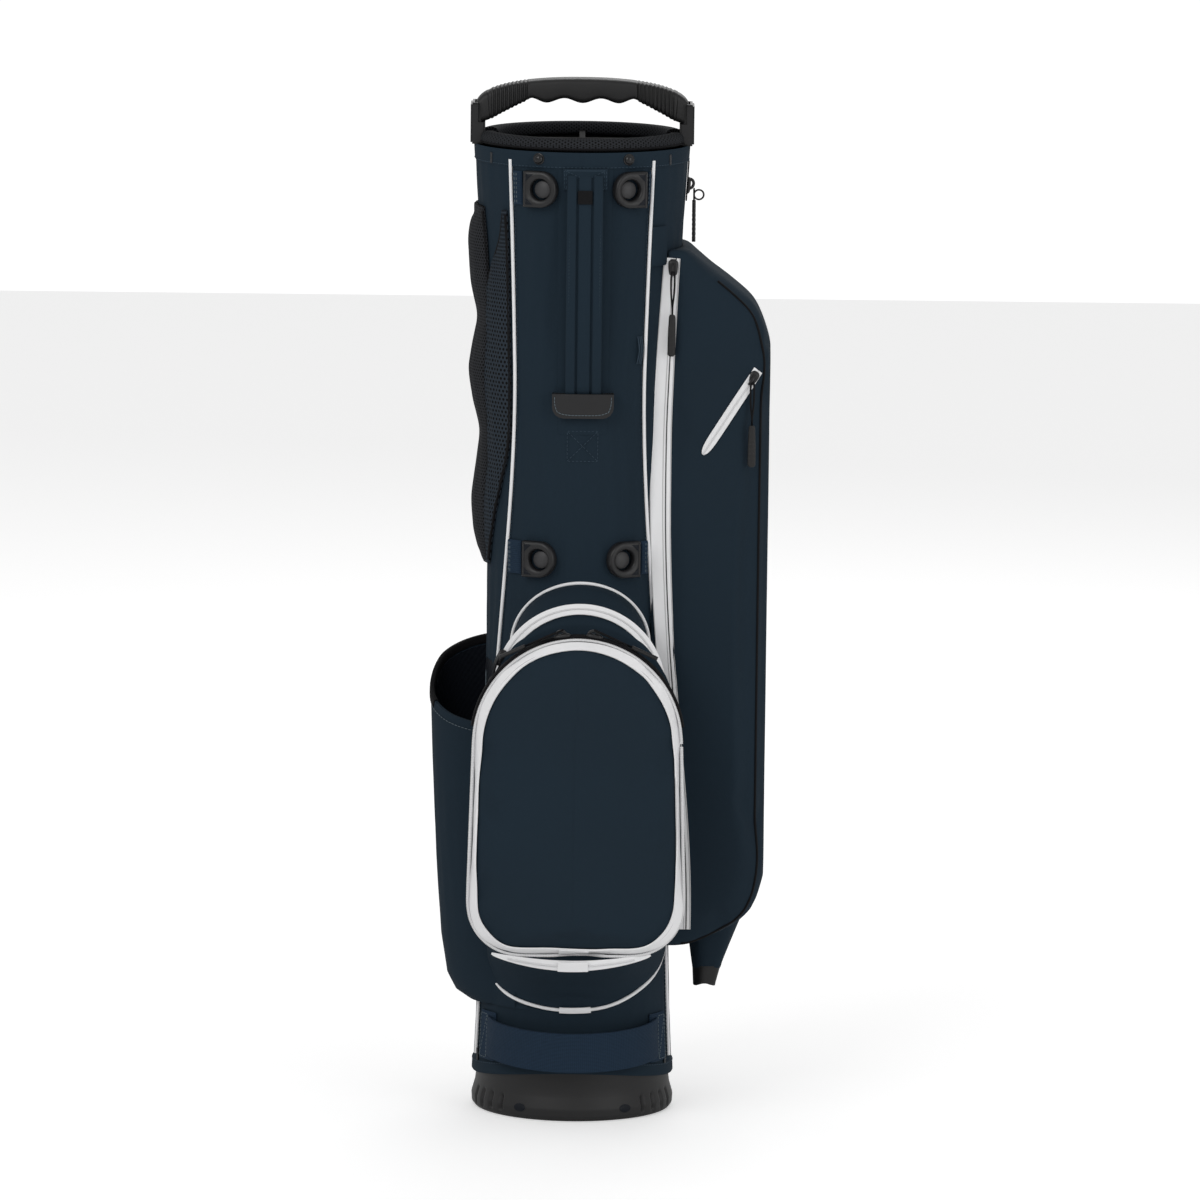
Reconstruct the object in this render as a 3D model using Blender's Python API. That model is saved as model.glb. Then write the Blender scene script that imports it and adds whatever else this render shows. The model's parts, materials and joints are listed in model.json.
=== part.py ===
"""A light golf stand bag with two folding legs, as separate named pieces.

Frame: metres, +Z up. The origin lies on the ground at the centre of the base's sole. -Y is the spine
side with the ball pocket, +Y the side where the legs fold, +X the garment pocket and -X the shoulder
pads and the drinks pouch. Each moving piece has its origin on its joint's axis.
"""

import math

import bmesh
import bpy
import numpy as np
from mathutils import Matrix, Vector

# ---- driving dimensions ------------------------------------------------------------------------
GAP = 0.0003  # between faces that touch
FIT = 0.0004  # between a soft piece and the trunk that it is sewn to
RUN = 0.0003  # radial play of a pin in its hole

TOP_Z = 0.843  # the fabric's top hem, from which everything at the mouth is placed
WAIST_Z = 0.444
HEM_Z = 0.031  # the fabric's bottom hem at the sides
HEM_RISE = 0.020  # and how much higher it is at the front and the back
TOP_X = 0.0920  # half widths of the trunk
WAIST_X = 0.0784
BOTTOM_X = 0.0868
DEPTH_RATIO = 0.94  # the trunk is that much shallower than it is wide
WALL = 0.002
SEAM_ANGLE = 41.5  # of the piping, from the -Y direction, degrees
SEAM_GAP = 1.0  # between two panels, degrees

BASE_LIP_X = BOTTOM_X + 0.0012
BASE_LIP_Z = 0.010
BASE_NECK_X = BOTTOM_X - 0.0019
BASE_NECK_Z = 0.021
BASE_TOP_Z = 0.075
BASE_WALL = 0.0045
BASE_FLOOR = 0.005

FOOT_SWING = 25.0
FOOT_HINGE_Y = 0.030
FOOT_HINGE_Z = 0.0085
FOOT_PLATE_T = 0.004
FOOT_PLATE_LIFT = 0.0005
FOOT_BARREL_R = 0.0070
FOOT_BARREL_HALF = BASE_NECK_X - 0.0249
FOOT_PIN_R = 0.0025
FOOT_PIN_HALF = BASE_NECK_X - 0.0149

LEG_X = 0.045
LEG_Y = TOP_X * DEPTH_RATIO + 0.01352
LEG_Z = TOP_Z - 0.021
LEG_TIP_Z = 0.075  # of the folded leg
LEG_R = 0.0070
LEG_TURN = 38.0  # of the leg's hinge axis from the X direction, in plan
LEG_PIN_R = 0.0025
KNUCKLE_HALF = 0.0094
CHEEK_T = 0.0035
LEG_FOOT_R = 0.0110
LEG_FOOT_H = 0.048
KNUCKLE_SOCKET = 0.022  # length of the tube inside the knuckle
SOCKET_WALL = 0.0020
KNUCKLE_R = LEG_R + SOCKET_WALL
BRACKET_HALF_X = LEG_X + 0.011
BRACKET_BELOW = 0.016  # under the legs' hinges
BRACKET_ABOVE = 0.014
CHEEK_HALF_H = 0.0115
CHEEK_REACH = 0.0085  # behind the hinge
CHEEK_ROOT = 0.026  # in front of it, inside the block

ROD_R = 0.0030
ROD_X = 0.022
ROD_Y = BASE_LIP_X * DEPTH_RATIO + 0.01328
ROD_Z = 0.0105
LUG_TOP_Z = 0.0160
ROD_DROP = 0.178  # of the rod's top end below the leg's hinge
ROD_OFF = 0.0138  # between the rod's top end and the leg's centre line
ROD_AXIS = (-0.98778, 0.15507, 0.01585)  # of the right rod
ROD_STUB = 0.012
LUG_IN = 0.0065  # from the rod's middle to the near and the far face of its lug
LUG_OUT = 0.0125
LUG_BEHIND = 0.006  # the rod's middle

COLLAR_LOW_Z = TOP_Z - 0.048
COLLAR_WALL = 0.0050
CUFF_TOP_Z = TOP_Z + 0.012
CUFF_INNER_X = TOP_X - 0.0155
DIVIDER_T = 0.005
DIVIDER_LOW_Z = TOP_Z - 0.068
DIVIDER_TOP_Z = TOP_Z + 0.005
STAY_R = 0.0025

EAR_X = TOP_X + 0.0042
EAR_INNER_X = TOP_X - 0.0082
EAR_HALF_Y = 0.0180
EAR_TOP_Z = TOP_Z + 0.036
EAR_OPEN_Z = TOP_Z + 0.019  # above this the ear is only a plate outside the handle
EAR_NECK_INSET = 0.0030
HANDLE_X = TOP_X - 0.0022
HANDLE_T = 0.0052
HANDLE_HALF_Y = 0.0135
HANDLE_FOOT_Z = TOP_Z + 0.009
HANDLE_TOP_Z = TOP_Z + 0.057
HANDLE_SHOULDER = 0.020  # how far up the ears hold its ends
GRIP_T = 0.0195
GRIP_HALF_X = 0.046
GRIP_GROOVE = 0.0020
GRIP_BUMPS = 3  # between the fingers
GRIP_END = 0.0095  # from the ear to the foot of the grip's slope

SPINE_X = 0.003  # centre line of what sits on the spine
SPINE_HANDLE_W = 0.0308
SPINE_HANDLE_T = 0.0050
SPINE_HANDLE_BOW = 0.016
SPINE_HANDLE_TOP = TOP_Z - 0.020
SPINE_HANDLE_ABOVE_RINGS = 0.1312  # its lower end
ANCHOR_W = 0.053
ANCHOR_H = 0.021
ANCHOR_T = 0.0025
ANCHOR_BELOW = 0.007  # how far it reaches below the strap
ANCHOR_ROUND = 0.010

RING_UPPER_X = 0.037
RING_LOWER_X = 0.035
RING_UPPER_Z = TOP_Z - 0.0315
RING_W = 0.029
RING_H = 0.031
RING_T = 0.0070
RING_HOLE_R = 0.0088
TAB_H = 0.029
TAB_T = 0.0016
SNAP_X = 0.0375
SNAP_Z = TOP_Z - 0.0055
SNAP_R = 0.0048

PIPING_R = 0.0016
PIPING_END = 0.007  # below the top hem

ARCH_X = 0.0015  # centre of the ball pocket's arched top
ARCH_Z = 0.3450
ARCH_R = 0.0905
BALL_LOW_Z = 0.158
BALL_FRONT_Y = -0.158
BALL_BACK_Y = -0.1203
BALL_CORNER = 0.046
BALL_SPREAD = 0.004  # how much wider the pocket is at its bottom
BALL_TAPE_W = 0.0085
BALL_TAPE_T = 0.0016
TIER_R = ARCH_R + 0.0095
TIER_Z = ARCH_Z + 0.0110
TIER_CORNER = 0.055
RING_LOWER_Z = TIER_Z + TIER_R + 0.0348
SPINE_HANDLE_LOW = RING_LOWER_Z + SPINE_HANDLE_ABOVE_RINGS
TIER_FRONT_Y = -0.1195
TIER_BACK_Y = -0.0520
TIER_LOW_Z = 0.100

GARMENT_X = 0.1628
GARMENT_HALF_Y = 0.048
GARMENT_TOP_Z = TOP_Z - 0.086
GARMENT_LOW_Z = 0.149
GARMENT_ROOT_X = 0.040  # inside the trunk, from which the pocket is cut back
GARMENT_FOOT_X = 0.096  # where its lower edge starts to rise
GARMENT_FOOT_RISE = 0.024
TAPE_T = 0.0012
SIDE_TAPE_W = 0.0150
SIDE_ZIP_NEAR = 0.0078  # from the corner of trunk and pocket to the tape's middle, at the top
SIDE_ZIP_FAR = 0.0310  # and at the bottom
SIDE_ZIP_BEND_Z = 0.390
SIDE_ZIP_BEND = 0.055
SIDE_ZIP_OFF = 0.0014  # of the slider from the tape's middle
SIDE_ZIP_Z = GARMENT_TOP_Z - 0.015
SIDE_ZIP_LEAN = 0.0100  # towards -X, per metre of travel
DIAGONAL_TOP = (GARMENT_X - 0.0098, GARMENT_TOP_Z - 0.1030)
DIAGONAL_LOW = (GARMENT_X - 0.0563, GARMENT_TOP_Z - 0.1760)
DIAGONAL_W = 0.0080
UPPER_ZIP_Z = TOP_Z - 0.035

SLIDER_W = 0.0090
SLIDER_L = 0.0150
SLIDER_T = 0.0040
PULL_LENGTH = 0.072
PULL_GRIP = 0.034
PULL_W = 0.0070
PULL_T = 0.0030
BALL_PULL_LENGTH = 0.058
UPPER_PULL_LENGTH = 0.045
PULL_BARREL_R = 0.0013
PULL_CORD_T = 0.0014
LUG_RISE = 0.0036  # of a slider's lugs above its top
PIVOT_RISE = 0.0025
PIVOT_AHEAD = 0.0040  # of the pull's pivot from the slider's middle

POUCH_X = 0.1265
POUCH_HALF_Y = 0.052
POUCH_BACK_Z = 0.408
POUCH_FRONT_Z = 0.352
POUCH_LOW_Z = 0.096
POUCH_WALL = 0.0025

LIFT_Z = 0.0665
LIFT_H = 0.0340
LIFT_T = 0.0022
LIFT_OUT = 0.0180
LIFT_ANGLE = 57.0  # of its ends from the -Y direction, degrees

SLEEVE_TOP_Z = 0.150
SLEEVE_LOW_Z = 0.106
SLEEVE_TOP_W = 0.040
SLEEVE_LOW_W = 0.016
SLEEVE_X = GARMENT_X - 0.0458
SLEEVE_Y = 0.022
SLEEVE_TIP = 0.014

PAD_OUT = 0.0170
PAD_TOP_Z = TOP_Z - 0.051
PAD_LOW_Z = POUCH_BACK_Z + 0.076
PAD_MID_Z = 0.5 * (PAD_TOP_Z + PAD_LOW_Z) + 0.002
PAD_GAP = 0.006  # between the two pads
PAD_THIN = 0.003  # at their edges
PAD_FRONT = 49.0  # degrees from the -Y direction
PAD_BACK = 128.0

SIDES = 40  # of a whole turn of the trunk


# ---- clear the scene ---------------------------------------------------------------------------
def clear_scene():
    for old in list(bpy.data.objects):
        bpy.data.objects.remove(old, do_unlink=True)


# ---- materials ---------------------------------------------------------------------------------
FINISHES = {
    "navy_fabric": ((0.016, 0.026, 0.042), 0.85, 0.0),
    "navy_webbing": ((0.014, 0.028, 0.055), 0.80, 0.0),
    "black_mesh": ((0.010, 0.010, 0.012), 0.90, 0.0),
    "black_plastic": ((0.018, 0.018, 0.020), 0.55, 0.0),
    "black_rubber": ((0.015, 0.015, 0.016), 0.80, 0.0),
    "black_leather": ((0.014, 0.014, 0.015), 0.60, 0.0),
    "white_tape": ((0.78, 0.79, 0.80), 0.55, 0.0),
    "dark_tube": ((0.060, 0.062, 0.066), 0.35, 1.0),
    "steel": ((0.45, 0.45, 0.46), 0.30, 1.0),
}


def finish(name, slot):
    colour, roughness, metallic = FINISHES[slot]
    material = bpy.data.materials.new(name)
    material.use_nodes = True
    shader = material.node_tree.nodes["Principled BSDF"]
    shader.inputs["Base Color"].default_value = (*colour, 1.0)
    shader.inputs["Roughness"].default_value = roughness
    shader.inputs["Metallic"].default_value = metallic
    return material


# ---- mesh helpers ------------------------------------------------------------------------------
def add(name, shape, slot, pivot=(0.0, 0.0, 0.0), smooth=True):
    """Makes an object of a bmesh in world coordinates, with its origin on the pivot."""
    bmesh.ops.remove_doubles(shape, verts=shape.verts, dist=1e-6)
    bmesh.ops.recalc_face_normals(shape, faces=shape.faces)
    bmesh.ops.translate(shape, verts=shape.verts, vec=-Vector(pivot))
    mesh = bpy.data.meshes.new(name)
    shape.to_mesh(mesh)
    shape.free()
    if smooth:
        mesh.shade_smooth()
        mesh.set_sharp_from_angle(angle=math.radians(40))
    obj = bpy.data.objects.new(name, mesh)
    obj.location = pivot
    obj.data.materials.append(finish(name, slot))
    bpy.context.scene.collection.objects.link(obj)
    return obj


def combine(obj, shape, operation="DIFFERENCE"):
    """Cuts a world-space bmesh from an object, or joins it on, with an exact Boolean."""
    tool = add(obj.name + "_tool", shape, "black_plastic", smooth=False)
    tool.hide_render = True
    tool.display_type = "WIRE"
    modifier = obj.modifiers.new(operation.lower(), "BOOLEAN")
    modifier.operation = operation
    modifier.solver = "EXACT"
    modifier.object = tool


def from_rings(rings, capped=True, looped=False):
    """A skin over closed rings with equal point counts: capped at both ends, or looped into a ring."""
    shape = bmesh.new()
    rows = [[shape.verts.new(point) for point in ring] for ring in rings]
    pairs = list(zip(rows, rows[1:]))
    if looped:
        pairs.append((rows[-1], rows[0]))
    for low, high in pairs:
        for k in range(len(low)):
            n = (k + 1) % len(low)
            shape.faces.new((low[k], low[n], high[n], high[k]))
    if capped and not looped:
        shape.faces.new(list(reversed(rows[0])))
        shape.faces.new(rows[-1])
    return shape


def ellipse(half_x, half_y, z, count=SIDES):
    turns = np.linspace(0.0, 2.0 * np.pi, count, endpoint=False)
    return [(half_x * math.cos(t), half_y * math.sin(t), z) for t in turns]


def box(low, high, turn=None, about=(0.0, 0.0, 0.0)):
    """A box between two corners, which may be turned by a matrix about a point."""
    shape = bmesh.new()
    bmesh.ops.create_cube(shape, size=1.0)
    size = Vector(high) - Vector(low)
    middle = (Vector(high) + Vector(low)) / 2.0
    bmesh.ops.scale(shape, verts=shape.verts, vec=size)
    bmesh.ops.translate(shape, verts=shape.verts, vec=middle)
    if turn is not None:
        bmesh.ops.rotate(shape, verts=shape.verts, cent=Vector(about), matrix=turn)
    return shape


def soften(shape, width, segments=2):
    bmesh.ops.bevel(
        shape, geom=list(shape.edges), offset=width, segments=segments, affect="EDGES", clamp_overlap=True
    )
    return shape


def rod_between(start, end, radius, count=16):
    """A straight round bar from one point to another."""
    return tube([start, end], radius, count)


def tube(points, radius, count=10):
    """A round bar along a path of points."""
    path = [Vector(p) for p in points]
    rings = []
    side = None
    for k, here in enumerate(path):
        before = path[max(k - 1, 0)]
        after = path[min(k + 1, len(path) - 1)]
        ahead = (after - before).normalized()
        if side is None:
            side = ahead.orthogonal().normalized()
        side = (side - ahead * side.dot(ahead)).normalized()
        other = ahead.cross(side)
        turns = [2.0 * math.pi * n / count for n in range(count)]
        rings.append([here + radius * (math.cos(t) * side + math.sin(t) * other) for t in turns])
    return from_rings(rings)


def prism(outline, y_from, y_to):
    """An outline of (x, z) points pushed along Y."""
    return from_rings([[(x, y_from, z) for x, z in outline], [(x, y_to, z) for x, z in outline]])


def band(path, across, out, width, thickness):
    """A flat strap along a path: across is its width direction and out, one per point, its outward side."""
    across = Vector(across).normalized() * (width / 2.0)
    rings = []
    for point, normal in zip(path, out):
        base = Vector(point)
        top = base + Vector(normal).normalized() * thickness
        rings.append([base - across, base + across, top + across, top - across])
    return from_rings(rings)


def arc(centre, radius, start, end, count):
    """Points (x, z) on an arc, with angles in degrees from +X towards +Z."""
    turns = np.radians(np.linspace(start, end, count))
    return [(centre[0] + radius * math.cos(t), centre[1] + radius * math.sin(t)) for t in turns]


# ---- the trunk's surface -----------------------------------------------------------------------
def trunk_half_x(z):
    """Half width at a height: the parabola through the widths at the hem, the waist and the top."""
    low = (z - WAIST_Z) * (z - TOP_Z) / ((HEM_Z - WAIST_Z) * (HEM_Z - TOP_Z))
    middle = (z - HEM_Z) * (z - TOP_Z) / ((WAIST_Z - HEM_Z) * (WAIST_Z - TOP_Z))
    high = (z - HEM_Z) * (z - WAIST_Z) / ((TOP_Z - HEM_Z) * (TOP_Z - WAIST_Z))
    return BOTTOM_X * low + WAIST_X * middle + TOP_X * high


def trunk_point(degrees, z, lift=0.0):
    """A point of the trunk at an angle from -Y towards +X, and a distance outside the fabric."""
    turn = math.radians(degrees - 90.0)
    half = trunk_half_x(z)
    return Vector(((half + lift) * math.cos(turn), (half * DEPTH_RATIO + lift) * math.sin(turn), z))


def trunk_out(degrees):
    """The trunk's outward direction at an angle."""
    turn = math.radians(degrees - 90.0)
    return Vector((math.cos(turn) * DEPTH_RATIO, math.sin(turn), 0.0)).normalized()


def trunk_angle(x, z):
    """The angle of the point on the front of the trunk that has a given x."""
    return math.degrees(math.asin(x / trunk_half_x(z)))


def trunk_solid(lift, low, high, count=SIDES):
    """The whole trunk as a solid, grown by lift."""
    levels = np.linspace(low, high, 14)
    rings = []
    for z in levels:
        half = trunk_half_x(z)
        rings.append(ellipse(half + lift, half * DEPTH_RATIO + lift, z, count))
    return from_rings(rings)


def hem_height(degrees):
    return HEM_Z + HEM_RISE * math.cos(math.radians(degrees)) ** 2


def curved_slab(start, end, low, high, inner, outer, steps, levels):
    """A slab over the trunk between two angles. low, inner and outer are functions, high a height."""
    angles = np.linspace(start, end, steps)
    shares = np.linspace(0.0, 1.0, levels)
    rings = []
    for angle in angles:
        heights = [low(angle) + s * (high - low(angle)) for s in shares]
        inside = [trunk_point(angle, z, inner(angle, z)) for z in heights]
        outside = [trunk_point(angle, z, outer(angle, z)) for z in reversed(heights)]
        rings.append(inside + outside)
    return from_rings(rings)


# ---- base, foot plate and its pin --------------------------------------------------------------
HINGE = Vector((0.0, FOOT_HINGE_Y, FOOT_HINGE_Z))
PLATE_TOP_Z = FOOT_PLATE_LIFT + FOOT_PLATE_T
WEDGE = math.radians(FOOT_SWING + 0.5)


def wedge_height(y):
    """Height of the base's sloping underside above the foot plate."""
    below = (FOOT_HINGE_Z - PLATE_TOP_Z - 2.0 * GAP) / math.cos(WEDGE)
    return FOOT_HINGE_Z - below + (y - FOOT_HINGE_Y) * math.tan(WEDGE)


def cut_above(shape, height, y, keep_above=True):
    """Keeps the part of a shape above, or below, the sloping plane that passes a height at y."""
    normal = Vector((0.0, -math.sin(WEDGE), math.cos(WEDGE)))
    geometry = list(shape.verts) + list(shape.edges) + list(shape.faces)
    cut = bmesh.ops.bisect_plane(
        shape,
        geom=geometry,
        plane_co=(0.0, y, height),
        plane_no=normal,
        clear_inner=keep_above,
        clear_outer=not keep_above,
    )
    edges = [e for e in cut["geom_cut"] if isinstance(e, bmesh.types.BMEdge)]
    bmesh.ops.holes_fill(shape, edges=edges, sides=0)
    return shape


def base_half_x(z):
    profile_z = (0.0, 0.003, BASE_LIP_Z, BASE_NECK_Z, HEM_Z - 0.002)
    hidden = trunk_half_x(HEM_Z) - WALL - GAP
    profile_x = (BASE_LIP_X - 0.0025, BASE_LIP_X, BASE_LIP_X, BASE_NECK_X, hidden - GAP)
    if z < profile_z[-1]:
        return float(np.interp(z, profile_z, profile_x))
    return trunk_half_x(z) - WALL - 2.0 * GAP


def make_base():
    levels = (0.0, 0.003, BASE_LIP_Z, BASE_NECK_Z, HEM_Z - 0.002, HEM_Z)
    levels += (0.5 * (HEM_Z + BASE_TOP_Z), BASE_TOP_Z)
    outer = []
    for z in levels:
        half = base_half_x(z)
        outer.append(ellipse(half, half * DEPTH_RATIO, z))
    shape = cut_above(from_rings(outer), wedge_height(FOOT_HINGE_Y), FOOT_HINGE_Y)
    base = add("base_cup", shape, "black_plastic")
    hollow = []
    for z in (BASE_FLOOR, BASE_NECK_Z, BASE_TOP_Z, BASE_TOP_Z + 0.01):
        half = min(base_half_x(min(z, BASE_TOP_Z)), BASE_NECK_X) - BASE_WALL
        hollow.append(ellipse(half, half * DEPTH_RATIO, z))
    floor = from_rings(hollow)
    floor = cut_above(floor, wedge_height(FOOT_HINGE_Y) + 2.2 * BASE_FLOOR, FOOT_HINGE_Y)
    combine(base, floor)
    ends = (HINGE - Vector((FOOT_BARREL_HALF + GAP, 0, 0)), HINGE + Vector((FOOT_BARREL_HALF + GAP, 0, 0)))
    combine(base, rod_between(*ends, FOOT_BARREL_R + 2.0 * GAP, 20))
    reach = Vector((FOOT_PIN_HALF + GAP, 0, 0))
    combine(base, rod_between(HINGE - reach, HINGE + reach, FOOT_PIN_R + RUN))


def lug_start():
    """How far back the rods' lugs must begin, so that they clear the base when the plate is swung up."""
    swing = math.radians(FOOT_SWING)
    reach = BASE_NECK_X * DEPTH_RATIO + 2.0 * GAP - FOOT_HINGE_Y
    return FOOT_HINGE_Y + (reach + (LUG_TOP_Z - FOOT_HINGE_Z) * math.sin(swing)) / math.cos(swing)


def make_foot_plate():
    """The plate is the back part of the base's outline, with a hinge barrel and two rod lugs."""
    half = BASE_LIP_X - 0.0025
    rings = [ellipse(half, half * DEPTH_RATIO, z) for z in (FOOT_PLATE_LIFT, PLATE_TOP_Z)]
    shape = from_rings(rings)
    geometry = list(shape.verts) + list(shape.edges) + list(shape.faces)
    cut = bmesh.ops.bisect_plane(
        shape, geom=geometry, plane_co=HINGE, plane_no=(0.0, 1.0, 0.0), clear_inner=True
    )
    edges = [e for e in cut["geom_cut"] if isinstance(e, bmesh.types.BMEdge)]
    bmesh.ops.holes_fill(shape, edges=edges, sides=0)
    plate = add("foot_plate", shape, "black_rubber", pivot=HINGE)
    reach = Vector((FOOT_BARREL_HALF, 0, 0))
    combine(plate, rod_between(HINGE - reach, HINGE + reach, FOOT_BARREL_R, 20), "UNION")
    for side in (1, -1):
        anchor = rod_anchor(side)
        axis = rod_axis(side)
        turn = math.atan2(-side * axis.y, abs(axis.x))
        inner = anchor.x - side * LUG_IN
        outer = anchor.x - side * LUG_OUT
        low = (min(inner, outer), BASE_LIP_X * DEPTH_RATIO - 0.012, FOOT_PLATE_LIFT)
        high = (max(inner, outer), ROD_Y + LUG_BEHIND, LUG_TOP_Z)
        lug = box(low, high, Matrix.Rotation(turn, 3, "Z"), anchor)
        combine(plate, lug, "UNION")
    combine(plate, box((-ROD_X, FOOT_HINGE_Y + 0.02, PLATE_TOP_Z), (ROD_X, lug_start(), LUG_TOP_Z + 0.01)))
    for side in (1, -1):
        anchor = rod_anchor(side)
        axis = rod_axis(side)
        combine(plate, rod_between(anchor - axis * 0.02, anchor + axis * 0.02, ROD_R + RUN))
    combine(plate, rod_between(HINGE - 2 * reach, HINGE + 2 * reach, FOOT_PIN_R + RUN))
    pin_reach = Vector((FOOT_PIN_HALF, 0, 0))
    add("foot_pin", rod_between(HINGE - pin_reach, HINGE + pin_reach, FOOT_PIN_R), "steel", pivot=HINGE)


# ---- legs, their bracket and the rods that open them -------------------------------------------
def leg_axis(side):
    turn = math.radians(LEG_TURN)
    return Vector((math.cos(turn), -side * math.sin(turn), 0.0))


def leg_pivot(side):
    return Vector((side * LEG_X, LEG_Y, LEG_Z))


def rod_axis(side):
    return Vector((ROD_AXIS[0], side * ROD_AXIS[1], side * ROD_AXIS[2])).normalized() * side


def rod_anchor(side):
    return Vector((side * ROD_X, ROD_Y, ROD_Z))


def rod_top(side):
    toward = leg_axis(side) * (-side)
    return leg_pivot(side) + toward * ROD_OFF - Vector((0.0, 0.0, ROD_DROP))


def make_leg(side, label):
    pivot = leg_pivot(side)
    axis = leg_axis(side)
    low = Vector((pivot.x, pivot.y, LEG_TIP_Z))
    tube_top = pivot - Vector((0.0, 0.0, KNUCKLE_R + 0.006))
    tube_low = low + Vector((0.0, 0.0, 0.010))
    add("leg_" + label, rod_between(tube_top, tube_low, LEG_R), "dark_tube", pivot=pivot)
    knuckle = rod_between(pivot - axis * KNUCKLE_HALF, pivot + axis * KNUCKLE_HALF, KNUCKLE_R, 20)
    head = add("leg_knuckle_" + label, knuckle, "black_plastic", pivot=pivot)
    socket_low = tube_top - Vector((0.0, 0.0, KNUCKLE_SOCKET))
    combine(head, rod_between(pivot, socket_low, LEG_R + SOCKET_WALL, 20), "UNION")
    bore_top = tube_top + Vector((0.0, 0.0, GAP))
    combine(head, rod_between(bore_top, socket_low - Vector((0, 0, 0.005)), LEG_R + GAP, 20))
    combine(head, rod_between(pivot - axis * 0.02, pivot + axis * 0.02, LEG_PIN_R + RUN))
    half_pin = KNUCKLE_HALF + CHEEK_T + 2.0 * GAP
    pin = rod_between(pivot - axis * half_pin, pivot + axis * half_pin, LEG_PIN_R)
    add("leg_pin_" + label, pin, "steel", pivot=pivot)
    rings = []
    for share, radius in ((0.0, 0.80), (0.12, 1.0), (0.70, 1.0), (1.0, 0.84)):
        z = low.z + share * LEG_FOOT_H
        ring = ellipse(LEG_FOOT_R * radius, LEG_FOOT_R * radius, z, 16)
        rings.append([(x + low.x, y + low.y, z) for x, y, z in ring])
    tip = add("leg_foot_" + label, from_rings(rings), "black_rubber", pivot=pivot)
    above = low + Vector((0.0, 0.0, LEG_FOOT_H + 0.01))
    combine(tip, rod_between(tube_low - Vector((0, 0, GAP)), above, LEG_R + GAP))


def make_leg_bracket():
    """A block across the back of the trunk, with two cheeks for each leg's hinge."""
    front = LEG_Y - KNUCKLE_R - 2.0 * GAP
    low_z = LEG_Z - BRACKET_BELOW
    high_z = LEG_Z + BRACKET_ABOVE
    inside = 0.5 * LEG_Y
    block = soften(box((-BRACKET_HALF_X, inside, low_z), (BRACKET_HALF_X, front, high_z)), 0.003)
    bracket = add("leg_bracket", block, "black_plastic")
    for side in (1, -1):
        pivot = leg_pivot(side)
        axis = leg_axis(side)
        half = KNUCKLE_HALF + CHEEK_T / 2.0
        combine(bracket, rod_between(pivot - axis * half, pivot + axis * half, KNUCKLE_R + 2.0 * GAP, 20))
        turn = Matrix.Rotation(-side * math.radians(LEG_TURN), 3, "Z")
        for end in (1, -1):
            middle = end * (KNUCKLE_HALF + GAP + CHEEK_T / 2.0)
            low = pivot + Vector((middle - CHEEK_T / 2.0, -CHEEK_ROOT, -CHEEK_HALF_H))
            high = pivot + Vector((middle + CHEEK_T / 2.0, CHEEK_REACH, CHEEK_HALF_H))
            combine(bracket, box(low, high, turn, pivot), "UNION")
        half = KNUCKLE_HALF + 2.0 * CHEEK_T
        combine(bracket, rod_between(pivot - axis * half, pivot + axis * half, LEG_PIN_R + RUN))
    combine(bracket, trunk_solid(FIT, low_z - 0.02, high_z + 0.02))


def make_rod(side, label):
    """A steel wire whose lower end turns into the foot plate's lug."""
    anchor = rod_anchor(side)
    inward = rod_axis(side)
    if inward.x * side > 0:
        inward = -inward
    top = rod_top(side)
    up = (top - anchor).normalized()
    points = [
        anchor + inward * ROD_STUB,
        anchor + inward * ROD_R * 1.6,
        anchor + inward * ROD_R * 0.45 + up * ROD_R * 0.45,
        anchor + up * ROD_R * 1.6,
        anchor + (top - anchor) * 0.5,
        top,
    ]
    add("rod_" + label, tube(points, ROD_R, 12), "steel", pivot=anchor)


# ---- trunk panels, stays, collar ---------------------------------------------------------------
def make_trunk():
    half_gap = SEAM_GAP / 2.0
    spans = {
        "trunk_front": (-SEAM_ANGLE, SEAM_ANGLE),
        "trunk_right": (SEAM_ANGLE, 180.0 - SEAM_ANGLE),
        "trunk_back": (180.0 - SEAM_ANGLE, 180.0 + SEAM_ANGLE),
        "trunk_left": (180.0 + SEAM_ANGLE, 360.0 - SEAM_ANGLE),
    }
    for name, (start, end) in spans.items():
        slab = curved_slab(
            start + half_gap, end - half_gap, hem_height, TOP_Z, lambda a, z: -WALL, lambda a, z: 0.0, 9, 16
        )
        add(name, slab, "navy_fabric")
    for label, angle in (("right", 90.0), ("left", 270.0)):
        heights = np.linspace(BASE_TOP_Z + GAP, COLLAR_LOW_Z - GAP, 9)
        inset = -(WALL + STAY_R + 2.0 * GAP)
        points = [trunk_point(angle, z, inset) for z in heights]
        add("stay_" + label, tube(points, STAY_R, 8), "dark_tube")


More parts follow.
